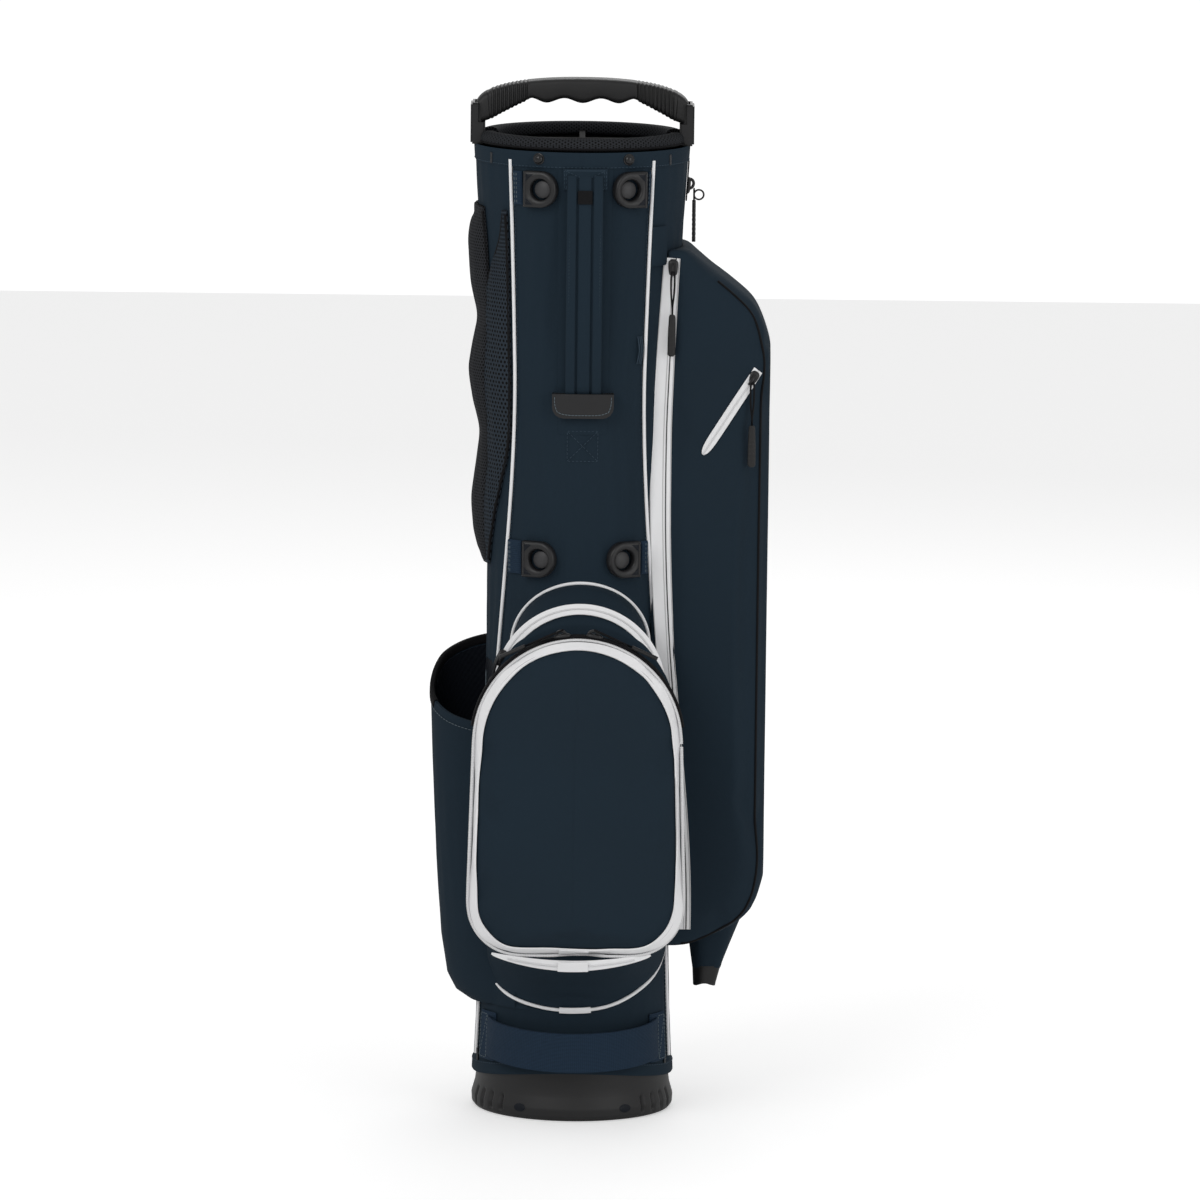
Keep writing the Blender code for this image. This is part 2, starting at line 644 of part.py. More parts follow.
def make_collar():
    """The moulded ring inside the top hem, with an ear on each side for the handle."""
    top = TOP_Z - GAP
    walls = []
    for inset in (0.0, COLLAR_WALL):
        for z in (COLLAR_LOW_Z, 0.5 * (COLLAR_LOW_Z + top), top):
            half = trunk_half_x(z) - WALL - 2.0 * GAP - inset
            walls.append(ellipse(half, half * DEPTH_RATIO, z))
    collar = add("top_collar", from_rings(walls[:3] + walls[:2:-1], looped=True), "black_plastic")
    for side in (1, -1):
        xs = sorted((side * EAR_INNER_X, side * EAR_X))
        ear = box((xs[0], -EAR_HALF_Y, TOP_Z + GAP), (xs[1], EAR_HALF_Y, EAR_TOP_Z))
        combine(collar, soften(ear, 0.0015), "UNION")
        xs = sorted((side * (EAR_INNER_X + 0.0010), side * (trunk_half_x(TOP_Z) - WALL - EAR_NECK_INSET)))
        neck = box((xs[0], -EAR_HALF_Y + 0.003, top - 0.010), (xs[1], EAR_HALF_Y - 0.003, TOP_Z + 0.006))
        combine(collar, neck, "UNION")
        xs = sorted((side * (HANDLE_X - HANDLE_T / 2 - GAP), side * (HANDLE_X + HANDLE_T / 2 + GAP)))
        half_y = HANDLE_HALF_Y + GAP
        combine(collar, box((xs[0], -half_y, HANDLE_FOOT_Z - GAP), (xs[1], half_y, EAR_TOP_Z + 0.01)))
        xs = sorted((side * (EAR_INNER_X - 0.01), side * HANDLE_X))
        half_y = EAR_HALF_Y + 0.01
        combine(collar, box((xs[0], -half_y, EAR_OPEN_Z), (xs[1], half_y, EAR_TOP_Z + 0.01)))


def make_cuff():
    """The padded roll on the collar's rim, notched for the ears."""
    low = TOP_Z + GAP
    mid = 0.5 * (low + CUFF_TOP_Z)
    outer = TOP_X - 0.0002
    profile = (
        (outer - 0.001, low),
        (outer, mid),
        (outer - 0.003, CUFF_TOP_Z - 0.001),
        (0.5 * (outer + CUFF_INNER_X), CUFF_TOP_Z),
        (CUFF_INNER_X + 0.003, CUFF_TOP_Z - 0.001),
        (CUFF_INNER_X, mid),
        (CUFF_INNER_X + 0.001, low),
    )
    rings = [ellipse(half, half * DEPTH_RATIO, z) for half, z in profile]
    cuff = add("collar_cuff", from_rings(rings, looped=True), "black_mesh")
    for side in (1, -1):
        xs = sorted((side * (EAR_INNER_X - GAP), side * (EAR_X + 0.01)))
        notch = EAR_HALF_Y + GAP
        combine(cuff, box((xs[0], -notch, low - 0.01), (xs[1], notch, CUFF_TOP_Z + 0.01)))


def make_divider():
    """A cross that parts the mouth into four, inside the collar."""
    half = DIVIDER_T / 2.0
    reach = TOP_X
    one = box((-reach, -half, DIVIDER_LOW_Z), (reach, half, DIVIDER_TOP_Z))
    divider = add("top_divider", one, "black_mesh", smooth=False)
    combine(divider, box((-half, -reach, DIVIDER_LOW_Z - GAP), (half, reach, DIVIDER_TOP_Z - GAP)), "UNION")
    inner = []
    for z in (DIVIDER_LOW_Z - 0.01, DIVIDER_TOP_Z + 0.01):
        size = min(CUFF_INNER_X - GAP, trunk_half_x(COLLAR_LOW_Z) - WALL - COLLAR_WALL - 3.0 * GAP)
        inner.append(ellipse(size, size * DEPTH_RATIO, z))
    combine(divider, from_rings(inner), "INTERSECT")


# ---- handle ------------------------------------------------------------------------------------
def make_handle():
    """An arch whose ends stand in the ears, thick in the middle with finger grooves below."""
    outer_x = HANDLE_X + HANDLE_T / 2.0
    inner_x = HANDLE_X - HANDLE_T / 2.0
    shoulder = HANDLE_FOOT_Z + HANDLE_SHOULDER
    rise = HANDLE_TOP_Z - shoulder
    turns = np.radians(np.linspace(0.0, 180.0, 25))
    over = [
        (outer_x * math.copysign(abs(math.cos(t)) ** 0.9, math.cos(t)), shoulder + rise * math.sin(t) ** 0.75)
        for t in turns
    ]
    under_z = HANDLE_TOP_Z - GRIP_T
    slope_x = inner_x - GRIP_END
    end_z = EAR_OPEN_Z + 0.0018  # clear of the ear by the rounding of that corner
    under = [(-inner_x, end_z), (-slope_x, end_z + 0.0015)]
    for x in np.linspace(-GRIP_HALF_X, GRIP_HALF_X, 6 * GRIP_BUMPS + 1):
        turn = math.pi * GRIP_BUMPS * (x + GRIP_HALF_X) / GRIP_HALF_X
        under.append((x, under_z + GRIP_GROOVE * math.cos(turn)))
    under += [(slope_x, end_z + 0.0015), (inner_x, end_z)]
    outline = [(outer_x, HANDLE_FOOT_Z)] + over + [(-outer_x, HANDLE_FOOT_Z), (-inner_x, HANDLE_FOOT_Z)]
    outline += under + [(inner_x, HANDLE_FOOT_Z)]
    handle = add("top_handle", prism(outline, -HANDLE_HALF_Y, HANDLE_HALF_Y), "black_rubber")
    round_off = handle.modifiers.new("round", "BEVEL")
    round_off.width = 0.0012
    round_off.segments = 1
    round_off.limit_method = "ANGLE"
    round_off.angle_limit = math.radians(60)


# ---- what sits on the spine --------------------------------------------------------------------
def make_spine_handle():
    """A padded strap that stands away from the spine, and the stitched patch on its lower end."""
    patch_low = SPINE_HANDLE_LOW - ANCHOR_BELOW
    patch_top = patch_low + ANCHOR_H
    heights = [SPINE_HANDLE_LOW] + list(np.linspace(patch_top + GAP, SPINE_HANDLE_TOP, 13))
    span = SPINE_HANDLE_TOP - patch_top
    path = []
    for z in heights:
        share = min(max((z - patch_top - 2.0 * GAP) / span, 0.0), 1.0)
        bow = SPINE_HANDLE_BOW * math.sin(math.pi * share) ** 0.7 if share < 0.999 else 0.0
        path.append((SPINE_X, trunk_point(trunk_angle(SPINE_X, z), z, FIT).y - bow, z))
    strap = band(path, (1.0, 0.0, 0.0), [(0.0, -1.0, 0.0)] * len(path), SPINE_HANDLE_W, SPINE_HANDLE_T)
    handle = add("spine_handle", strap, "navy_webbing")
    combine(handle, trunk_solid(FIT, SPINE_HANDLE_LOW - 0.05, TOP_Z))
    face_y = path[1][1] - SPINE_HANDLE_T - GAP
    half = ANCHOR_W / 2.0
    corner = half - ANCHOR_ROUND
    outline = [(SPINE_X - half, patch_top)]
    outline += arc((SPINE_X - corner, patch_low + ANCHOR_ROUND), ANCHOR_ROUND, 180, 270, 5)
    outline += arc((SPINE_X + corner, patch_low + ANCHOR_ROUND), ANCHOR_ROUND, 270, 360, 5)
    outline += [(SPINE_X + half, patch_top)]
    back_y = trunk_point(trunk_angle(SPINE_X + half, patch_low), patch_low).y + 0.002
    anchor = add("spine_handle_anchor", prism(outline, face_y - ANCHOR_T, back_y), "black_leather")
    combine(anchor, trunk_solid(FIT, SPINE_HANDLE_LOW - 0.06, TOP_Z))
    wide = SPINE_HANDLE_W / 2.0 + GAP
    combine(anchor, box((SPINE_X - wide, face_y, SPINE_HANDLE_LOW - GAP), (SPINE_X + wide, 0.0, TOP_Z)))


def make_connector(side, from_spine, height, label):
    """A D-shaped strap ring that turns on the end of a webbing tab, about an upright axis."""
    angle = trunk_angle(SPINE_X + side * from_spine, height)
    normal = trunk_out(angle)
    outward = Vector((-normal.y, normal.x, 0.0)) * side
    centre = trunk_point(angle, height, 2.5 * FIT)
    up = Vector((0.0, 0.0, 1.0))

    def place(u, v, w):
        return centre + outward * u + up * v + normal * w

    half_w = RING_W / 2.0
    half_h = RING_H / 2.0
    outline = [(half_w, -half_h), (half_w, half_h)]
    for turn in np.radians(np.linspace(105.0, 255.0, 13)):
        outline.append((half_h * math.cos(turn) * 1.0 - 0.001, half_h * math.sin(turn)))
    rings = [[place(u, v, w) for u, v in outline] for w in (0.0, RING_T)]
    pivot = place(half_w + 0.001, 0.0, RING_T / 2.0)
    ring = add("strap_ring_" + label, from_rings(rings), "black_plastic", pivot=pivot)
    hole = rod_between(place(-0.001, 0, -0.01), place(-0.001, 0, RING_T + 0.01), RING_HOLE_R, 20)
    combine(ring, hole)
    inner = trunk_angle(place(half_w + 2.0 * GAP, 0.0, 0.0).x, height)
    outer = SEAM_ANGLE * side - side * 1.8
    start, end = sorted((inner, outer))
    slab = curved_slab(
        start,
        end,
        lambda a: height - TAB_H / 2.0,
        height + TAB_H / 2.0,
        lambda a, z: FIT,
        lambda a, z: FIT + TAB_T,
        4,
        2,
    )
    add("ring_tab_" + label, slab, "navy_webbing")


def make_snaps():
    for side, label in ((-1, "left"), (1, "right")):
        angle = trunk_angle(SPINE_X / 2.0 + side * SNAP_X, SNAP_Z)
        normal = trunk_out(angle)
        base = trunk_point(angle, SNAP_Z, FIT)
        rings = []
        for share, lift in ((1.0, 0.0), (1.0, 0.0010), (0.80, 0.0026), (0.40, 0.0036)):
            centre = base + normal * lift
            across = Vector((-normal.y, normal.x, 0.0))
            turns = [2.0 * math.pi * n / 14 for n in range(14)]
            radius = SNAP_R * share
            up = Vector((0.0, 0.0, radius))
            rings.append([centre + radius * math.cos(t) * across + math.sin(t) * up for t in turns])
        add("snap_" + label, from_rings(rings), "black_plastic")


def make_piping():
    for side, label, low in ((-1, "left", TIER_Z + TIER_R + 0.012), (1, "right", GARMENT_TOP_Z + 0.008)):
        heights = np.linspace(low, TOP_Z - PIPING_END, 12)
        points = [trunk_point(side * SEAM_ANGLE, z, FIT + PIPING_R) for z in heights]
        add("piping_" + label, tube(points, PIPING_R, 8), "white_tape")


# ---- zips --------------------------------------------------------------------------------------
def block(centre, along, normal, low, high):
    """A box in a zip's own frame: low and high are (across, along, normal) from its centre."""
    across = normal.cross(along)
    corners = []
    for w in (low[2], high[2]):
        flat = ((low[0], low[1]), (high[0], low[1]), (high[0], high[1]), (low[0], high[1]))
        corners.append([centre + across * u + along * v + normal * w for u, v in flat])
    return from_rings(corners)


def make_slider(name, centre, along, normal, hang=None):
    """A slider with two lugs, in line with the way its pull hangs. centre lies on the tape's face."""
    along = Vector(along).normalized()
    normal = Vector(normal).normalized()
    hang = Vector(hang or along).normalized()
    half = SLIDER_W / 2.0
    low = (-half, -SLIDER_L / 2.0, GAP)
    high = (half, SLIDER_L / 2.0, GAP + SLIDER_T)
    slider = add(name, block(centre, along, normal, low, high), "black_plastic", pivot=centre)
    for side in (1, -1):
        near, far = sorted((side * (PULL_W / 2.0 - 0.0005), side * half))
        low = (near, PIVOT_AHEAD - 0.0030, SLIDER_T / 2.0)
        high = (far, PIVOT_AHEAD + 0.0025, GAP + SLIDER_T + LUG_RISE)
        combine(slider, block(centre, hang, normal, low, high), "UNION")


def pull_pivot(centre, along, normal):
    """The middle of the gap between a slider's lugs."""
    ahead = Vector(along).normalized() * PIVOT_AHEAD
    return Vector(centre) + ahead + Vector(normal).normalized() * (SLIDER_T + PIVOT_RISE)


def make_pull(name, pivot, along, normal, length):
    """A cord loop with a rubber grip, hinged between a slider's lugs."""
    along = Vector(along).normalized()
    normal = Vector(normal).normalized()
    across = normal.cross(along)
    half = PULL_W / 2.0 - 0.0005 - GAP
    barrel = rod_between(pivot - across * half, pivot + across * half, PULL_BARREL_R, 10)
    pull = add(name, barrel, "black_rubber", pivot=pivot)
    pieces = (
        (0.8 * half, 0.0, length - PULL_GRIP + 0.002, 0.5 * PULL_CORD_T),
        (0.5 * PULL_W, length - PULL_GRIP, length, 0.5 * PULL_T),
    )
    for wide, start, end, deep in pieces:
        shape = block(pivot, along, normal, (-wide, start, -deep), (wide, end, deep))
        combine(pull, shape, "UNION")


# ---- pockets -----------------------------------------------------------------------------------
def arch_outline(radius, centre_z, low_z, spread, corner, grow=0.0, narrow=1.0):
    """An arch on straight sides that spread towards rounded bottom corners, as (x, z) points."""
    size = radius + grow
    wide = radius + spread + grow
    bend = corner
    points = arc((ARCH_X, centre_z), size, 0, 180, 25)
    points += arc((ARCH_X - wide + bend, low_z - grow + bend), bend, 180, 270, 8)
    points += arc((ARCH_X + wide - bend, low_z - grow + bend), bend, 270, 360, 8)
    return [(ARCH_X + (x - ARCH_X) * narrow, z) for x, z in points]


def make_ball_pocket():
    rings = []
    edge = 0.004
    for y, grow in (
        (BALL_BACK_Y, -0.002),
        (BALL_BACK_Y - 0.003, 0.0),
        (BALL_FRONT_Y + edge, 0.0),
        (BALL_FRONT_Y, -edge),
    ):
        outline = arch_outline(ARCH_R, ARCH_Z, BALL_LOW_Z, BALL_SPREAD, BALL_CORNER, grow)
        rings.append([(x, y, z) for x, z in outline])
    add("ball_pocket", from_rings(rings), "navy_fabric")
    tape_outer = arch_outline(ARCH_R, ARCH_Z, BALL_LOW_Z, BALL_SPREAD, BALL_CORNER, -0.0045)
    tape_inner = arch_outline(ARCH_R, ARCH_Z, BALL_LOW_Z, BALL_SPREAD, BALL_CORNER, -0.0045 - BALL_TAPE_W)
    near = BALL_FRONT_Y - GAP
    far = near - BALL_TAPE_T
    walls = []
    for outline, y in ((tape_outer, near), (tape_outer, far), (tape_inner, far), (tape_inner, near)):
        walls.append([(x, y, z) for x, z in outline])
    add("ball_zip_tape", from_rings(walls, looped=True), "white_tape")


def make_tier_pocket():
    """The deeper pocket behind the ball pocket, tapering below to the trunk."""
    rings = []
    spans = (
        (TIER_BACK_Y, 0.74, -0.016),
        (-0.085, 0.86, -0.006),
        (TIER_FRONT_Y + 0.0075, 0.925, 0.0),
        (TIER_FRONT_Y, 0.90, -0.004),
    )
    for y, narrow, grow in spans:
        outline = arch_outline(TIER_R, TIER_Z, TIER_LOW_Z, 0.0, TIER_CORNER, grow, narrow)
        rings.append([(x, y, z) for x, z in outline])
    shape = from_rings(rings)
    geometry = list(shape.verts) + list(shape.edges) + list(shape.faces)
    slope = Vector((0.0, -(BALL_LOW_Z - TIER_LOW_Z), 0.036)).normalized()
    low_edge = (0.0, -0.084, TIER_LOW_Z + 0.004)
    cut = bmesh.ops.bisect_plane(
        shape, geom=geometry, plane_co=low_edge, plane_no=Vector((0.0, slope.y, -slope.z)), clear_outer=True
    )
    edges = [e for e in cut["geom_cut"] if isinstance(e, bmesh.types.BMEdge)]
    bmesh.ops.holes_fill(shape, edges=edges, sides=0)
    pocket = add("valuables_pocket", shape, "navy_fabric")
    combine(pocket, trunk_solid(FIT, 0.04, TOP_Z))


def make_garment_pocket():
    right = GARMENT_X
    outline = [
        (GARMENT_ROOT_X, GARMENT_LOW_Z - 0.001),
        (GARMENT_FOOT_X, GARMENT_LOW_Z),
        (right - 0.0185, GARMENT_LOW_Z + GARMENT_FOOT_RISE),
        (right - 0.0070, GARMENT_LOW_Z + 0.038),
        (right - 0.0010, GARMENT_LOW_Z + 0.066),
        (right, GARMENT_LOW_Z + 0.103),
        (right, GARMENT_TOP_Z - 0.1020),
        (right - 0.0050, GARMENT_TOP_Z - 0.0735),
        (right - 0.0120, GARMENT_TOP_Z - 0.0528),
        (right - 0.0303, GARMENT_TOP_Z - 0.0357),
        (right - 0.0390, GARMENT_TOP_Z - 0.0289),
        (right - 0.0720, GARMENT_TOP_Z),
        (GARMENT_ROOT_X, GARMENT_TOP_Z + 0.001),
    ]
    front = -GARMENT_HALF_Y
    edge = 0.006
    rings = []
    middle_x = 0.5 * (GARMENT_ROOT_X + right)
    middle_z = 0.5 * (GARMENT_TOP_Z + GARMENT_LOW_Z)
    for y, shrink in ((front, edge * 0.6), (front + edge, 0.0), (-front - edge, 0.0), (-front, edge * 0.6)):
        ring = []
        for x, z in outline:
            ring.append((x - math.copysign(shrink, x - middle_x), y, z - math.copysign(shrink, z - middle_z)))
        rings.append(ring)
    pocket = add("garment_pocket", from_rings(rings), "navy_fabric")
    combine(pocket, trunk_solid(FIT, 0.10, TOP_Z))


def side_zip_x(z):
    """The tape's middle: beside the corner between the trunk and the pocket's front, further out below."""
    half = trunk_half_x(z)
    corner = half * math.sqrt(1.0 - (GARMENT_HALF_Y / (half * DEPTH_RATIO)) ** 2)
    waist = 1.0 / (1.0 + math.exp((z - SIDE_ZIP_BEND_Z) / SIDE_ZIP_BEND))
    return corner + SIDE_ZIP_NEAR + (SIDE_ZIP_FAR - SIDE_ZIP_NEAR) * waist


def make_side_zip():
    face = -GARMENT_HALF_Y - GAP
    heights = np.linspace(GARMENT_LOW_Z + 0.016, GARMENT_TOP_Z - 0.007, 14)
    path = [(side_zip_x(z), face, z) for z in heights]
    out = [(0.0, -1.0, 0.0)] * len(path)
    tape = add("side_zip_tape", band(path, (1, 0, 0), out, SIDE_TAPE_W, TAPE_T), "white_tape")
    combine(tape, trunk_solid(FIT, 0.10, TOP_Z))
    centre = Vector((side_zip_x(SIDE_ZIP_Z) + SIDE_ZIP_OFF, face - TAPE_T, SIDE_ZIP_Z))
    along = (-SIDE_ZIP_LEAN, 0.0, -1.0)
    make_slider("side_zip_slider", centre, along, (0, -1, 0))
    make_pull("side_zip_pull", pull_pivot(centre, along, (0, -1, 0)), along, (0, -1, 0), PULL_LENGTH)


def diagonal_pull_along():
    """The slanting zip's pull hangs straight down."""
    return Vector((0.0, 0.0, -1.0))


def make_diagonal_zip():
    face = -GARMENT_HALF_Y - GAP
    top = Vector((DIAGONAL_TOP[0], face, DIAGONAL_TOP[1]))
    low = Vector((DIAGONAL_LOW[0], face, DIAGONAL_LOW[1]))
    along = (low - top).normalized()
    across = along.cross(Vector((0, -1, 0)))
    tape = band([top, low], across, [(0, -1, 0)] * 2, DIAGONAL_W, TAPE_T)
    add("diagonal_zip_tape", tape, "white_tape")
    centre = top + along * (SLIDER_L / 2 + 0.001) + Vector((0, -TAPE_T, 0))
    hang = diagonal_pull_along()
    make_slider("diagonal_zip_slider", centre, along, (0, -1, 0), hang)
    make_pull("diagonal_zip_pull", pull_pivot(centre, hang, (0, -1, 0)), hang, (0, -1, 0), PULL_LENGTH)


def make_upper_zip():
    """The slider of the short zip high on the +X side."""
    centre = trunk_point(90.0, UPPER_ZIP_Z, FIT)
    make_slider("upper_zip_slider", centre, (0, 0, -1), (1, 0, 0))
    pivot = pull_pivot(centre, (0, 0, -1), (1, 0, 0))
    make_pull("upper_zip_pull", pivot, (0, 0, -1), (1, 0, 0), UPPER_PULL_LENGTH)


def make_ball_sliders():
    for side, label in ((-1, "left"), (1, "right")):
        tilt = side * 6.2
        radial = Vector((math.sin(math.radians(tilt)), 0.0, math.cos(math.radians(tilt))))
        along = Vector((side * radial.z, 0.0, -abs(radial.x)))
        centre = Vector((ARCH_X, BALL_FRONT_Y + 0.012, ARCH_Z)) + radial * ARCH_R
        make_slider("ball_slider_" + label, centre, along, radial)
        pivot = pull_pivot(centre, along, radial)
        hang = ball_pull_along(side)
        make_pull("ball_pull_" + label, pivot, hang, ball_pull_normal(side), BALL_PULL_LENGTH)


def ball_pull_along(side):
    """The pull's resting direction: lying on the arch beside the slider."""
    drop = math.radians(24.0)
    return Vector((side * math.cos(drop), 0.0, -math.sin(drop)))


def ball_pull_normal(side):
    along = ball_pull_along(side)
    return Vector((-side * along.z, 0.0, side * along.x))


def make_drinks_pouch():
    """An open pouch on the -X side: a half shell with a bottom, under a slanting rim."""
    heights = (POUCH_LOW_Z, POUCH_LOW_Z + 0.010, 0.150, 0.220, 0.300, 0.364, POUCH_BACK_Z + 0.01)
    bulge = (-0.0285, -0.0185, -0.0110, -0.0066, -0.0025, 0.0, 0.0)
    reach = [POUCH_X + b for b in bulge]

    def section(z, out, inset):
        turns = np.radians(np.linspace(90.0, 270.0, 17))
        start = -0.040
        wide = out + start - inset
        ring = [(start + wide * math.cos(t) * 1.0, (POUCH_HALF_Y - inset) * math.sin(t), z) for t in turns]
        return [(-0.020, POUCH_HALF_Y - inset, z)] + ring + [(-0.020, -POUCH_HALF_Y + inset, z)]

    outside = from_rings([section(z, x, 0.0) for z, x in zip(heights, reach)])
    pouch = add("drinks_pouch", outside, "navy_fabric")
    inner_heights = (POUCH_LOW_Z + POUCH_WALL,) + heights[1:-1] + (POUCH_BACK_Z + 0.05,)
    inside = [section(z, x, POUCH_WALL) for z, x in zip(inner_heights, reach)]
    combine(pouch, from_rings(inside))
    combine(pouch, trunk_solid(FIT, 0.05, 0.50))
    slope = math.atan2(POUCH_BACK_Z - POUCH_FRONT_Z, 2.0 * POUCH_HALF_Y)
    middle = (-0.08, 0.0, 0.5 * (POUCH_BACK_Z + POUCH_FRONT_Z))
    turn = Matrix.Rotation(slope, 3, "X")
    combine(pouch, box((-0.25, -0.15, middle[2]), (0.0, 0.15, middle[2] + 0.15), turn, middle))


def make_lift_handle():
    steps = 13
    path = []
    out = []
    for angle in np.linspace(-LIFT_ANGLE, LIFT_ANGLE, steps):
        share = math.cos(math.radians(90.0 * angle / LIFT_ANGLE))
        lift = FIT + LIFT_OUT * share**0.8 if abs(angle) < LIFT_ANGLE else FIT
        path.append(trunk_point(angle, LIFT_Z, lift))
        out.append(trunk_out(angle))
    strap = band(path, (0, 0, 1), out, LIFT_H, LIFT_T)
    handle = add("lift_handle", strap, "navy_webbing")
    combine(handle, trunk_solid(FIT, 0.035, 0.12))


def make_umbrella_sleeve():
    """A tapered fabric sleeve below the garment pocket, with a black toe."""

    def section(z):
        share = (z - SLEEVE_LOW_Z) / (SLEEVE_TOP_Z - SLEEVE_LOW_Z)
        half = 0.5 * (SLEEVE_LOW_W + share * (SLEEVE_TOP_W - SLEEVE_LOW_W))
        x = SLEEVE_X - 0.003 * (1.0 - share)
        ring = ellipse(half, half * 0.8, z, 14)
        return [(px + x, py + SLEEVE_Y, z) for px, py, z in ring]

    split = SLEEVE_LOW_Z + SLEEVE_TIP
    tapered = from_rings([section(split + GAP), section(SLEEVE_TOP_Z + 0.03)])
    sleeve = add("umbrella_sleeve", tapered, "navy_fabric")
    lean = math.atan2(GARMENT_FOOT_RISE, GARMENT_X - 0.0185 - GARMENT_FOOT_X)
    hinge = (GARMENT_FOOT_X, 0.0, GARMENT_LOW_Z - 2.0 * GAP)
    above = box((0.0, -0.1, hinge[2]), (0.3, 0.1, 0.4), Matrix.Rotation(-lean, 3, "Y"), hinge)
    combine(sleeve, above)
    add("umbrella_sleeve_toe", from_rings([section(SLEEVE_LOW_Z), section(split)]), "black_rubber")


def make_pads():
    """Two shoulder pads laid on the -X side, one above the other."""

    def pad(name, low, high):
        def outer(angle, z):
            share = (angle + PAD_BACK) / (PAD_BACK - PAD_FRONT)
            edge = math.sin(math.pi * min(max(share, 0.0), 1.0)) ** 0.5
            along = abs(math.sin(math.pi * (z - low) / (high - low)))
            return FIT + PAD_THIN + (PAD_OUT - PAD_THIN) * edge * (0.45 + 0.55 * along**0.6)

        slab = curved_slab(-PAD_BACK, -PAD_FRONT, lambda a: low, high, lambda a, z: 2.5 * FIT, outer, 9, 13)
        add(name, slab, "black_mesh")

    pad("shoulder_pad_upper", PAD_MID_Z + 0.5 * PAD_GAP, PAD_TOP_Z)
    pad("shoulder_pad_lower", PAD_LOW_Z, PAD_MID_Z - 0.5 * PAD_GAP)


def main():
    clear_scene()
    make_base()
    make_foot_plate()
    for side, label in ((-1, "left"), (1, "right")):
        make_leg(side, label)
        make_rod(side, label)
    make_leg_bracket()
    make_trunk()
    make_collar()
    make_cuff()
    make_divider()
    make_handle()
    make_spine_handle()
    for side, across in ((-1, "left"), (1, "right")):
        make_connector(side, RING_UPPER_X, RING_UPPER_Z, "upper_" + across)
        make_connector(side, RING_LOWER_X, RING_LOWER_Z, "lower_" + across)
    make_snaps()
    make_piping()
    make_ball_pocket()
    make_ball_sliders()
    make_tier_pocket()
    make_garment_pocket()
    make_side_zip()
    make_diagonal_zip()
    make_upper_zip()
    make_drinks_pouch()
    make_lift_handle()
    make_umbrella_sleeve()
    make_pads()


main()
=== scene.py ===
"""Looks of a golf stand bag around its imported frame, laid out as a Blender add-on and run as a script.

Metres, +Z up. -Y is the spine side with the ball pocket, +Y the side of the legs, +X the garment pocket,
-X the shoulder pads and the drinks pouch. An angle on the trunk runs from -Y towards +X, in degrees.
"""

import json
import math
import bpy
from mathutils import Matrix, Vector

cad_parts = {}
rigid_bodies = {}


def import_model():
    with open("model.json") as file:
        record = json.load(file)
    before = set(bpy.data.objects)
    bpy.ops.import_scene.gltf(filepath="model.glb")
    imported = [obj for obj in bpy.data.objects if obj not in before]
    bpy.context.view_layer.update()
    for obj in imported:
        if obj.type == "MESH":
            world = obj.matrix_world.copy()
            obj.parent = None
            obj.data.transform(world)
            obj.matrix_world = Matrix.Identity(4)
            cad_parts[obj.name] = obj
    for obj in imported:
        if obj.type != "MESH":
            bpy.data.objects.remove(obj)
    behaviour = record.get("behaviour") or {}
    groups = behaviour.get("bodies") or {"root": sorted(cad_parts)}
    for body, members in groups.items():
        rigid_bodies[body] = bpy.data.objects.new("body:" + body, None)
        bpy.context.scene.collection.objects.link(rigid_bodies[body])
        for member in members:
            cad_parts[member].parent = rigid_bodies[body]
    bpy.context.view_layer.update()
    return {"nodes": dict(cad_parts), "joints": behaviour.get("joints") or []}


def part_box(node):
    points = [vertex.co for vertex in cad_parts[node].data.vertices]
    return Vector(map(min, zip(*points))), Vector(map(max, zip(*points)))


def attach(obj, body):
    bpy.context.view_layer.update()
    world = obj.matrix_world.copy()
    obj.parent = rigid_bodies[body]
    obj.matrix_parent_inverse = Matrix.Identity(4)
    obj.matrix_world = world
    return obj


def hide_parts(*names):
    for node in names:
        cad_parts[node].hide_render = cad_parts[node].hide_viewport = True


bl_info = {
    "name": "Golf Stand Bag",
    "version": (1, 0, 0),
    "blender": (4, 5, 0),
    "location": "View3D > Sidebar > Golf Bag",
    "description": "Builds the fabric, webbing, zips and mouldings of a golf stand bag on its frame",
    "category": "Add Mesh",
}

import bpy
import numpy as np
from bpy.props import FloatProperty, FloatVectorProperty, PointerProperty
from mathutils import Quaternion, Vector
from mathutils.bvhtree import BVHTree

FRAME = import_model()
JOINTS = {joint["name"]: joint for joint in FRAME["joints"]}

BAG = "bag"
FIT = 0.0004  # between a soft piece and the trunk that it is sewn to
UP = np.array([0.0, 0.0, 1.0])
FRONT = np.array([0.0, -1.0, 0.0])


# ---- reading the frame -------------------------------------------------------------------------
def node_points(name):
    """The corner points of a frame node, one row each."""
    mesh = FRAME["nodes"][name].data
    flat = np.zeros(3 * len(mesh.vertices), np.float32)
    mesh.vertices.foreach_get("co", flat)
    return flat.reshape(-1, 3).astype(float)


def limits(name):
    low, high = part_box(name)
    return np.array(low), np.array(high)


def column(name, axis):
    """The outermost places of a panel's middle column: heights, and the largest reach at each."""
    points = node_points(name)
    middle = points[np.abs(points[:, 1 - axis]) < 1e-4]
    heights = np.unique(np.round(middle[:, 2], 4))
    reach = [np.abs(middle[np.abs(middle[:, 2] - z) < 1e-3, axis]).max() for z in heights]
    return heights, np.array(reach)


HEM_Z = limits("trunk_right")[0][2]
TOP_Z = limits("trunk_front")[1][2]
WIDTH_FIT = np.polyfit(*column("trunk_right", 0), 2)
DEPTH_RATIO = float(np.mean(column("trunk_front", 1)[1] / np.polyval(WIDTH_FIT, column("trunk_front", 1)[0])))
HEM_RISE = limits("trunk_front")[0][2] - HEM_Z


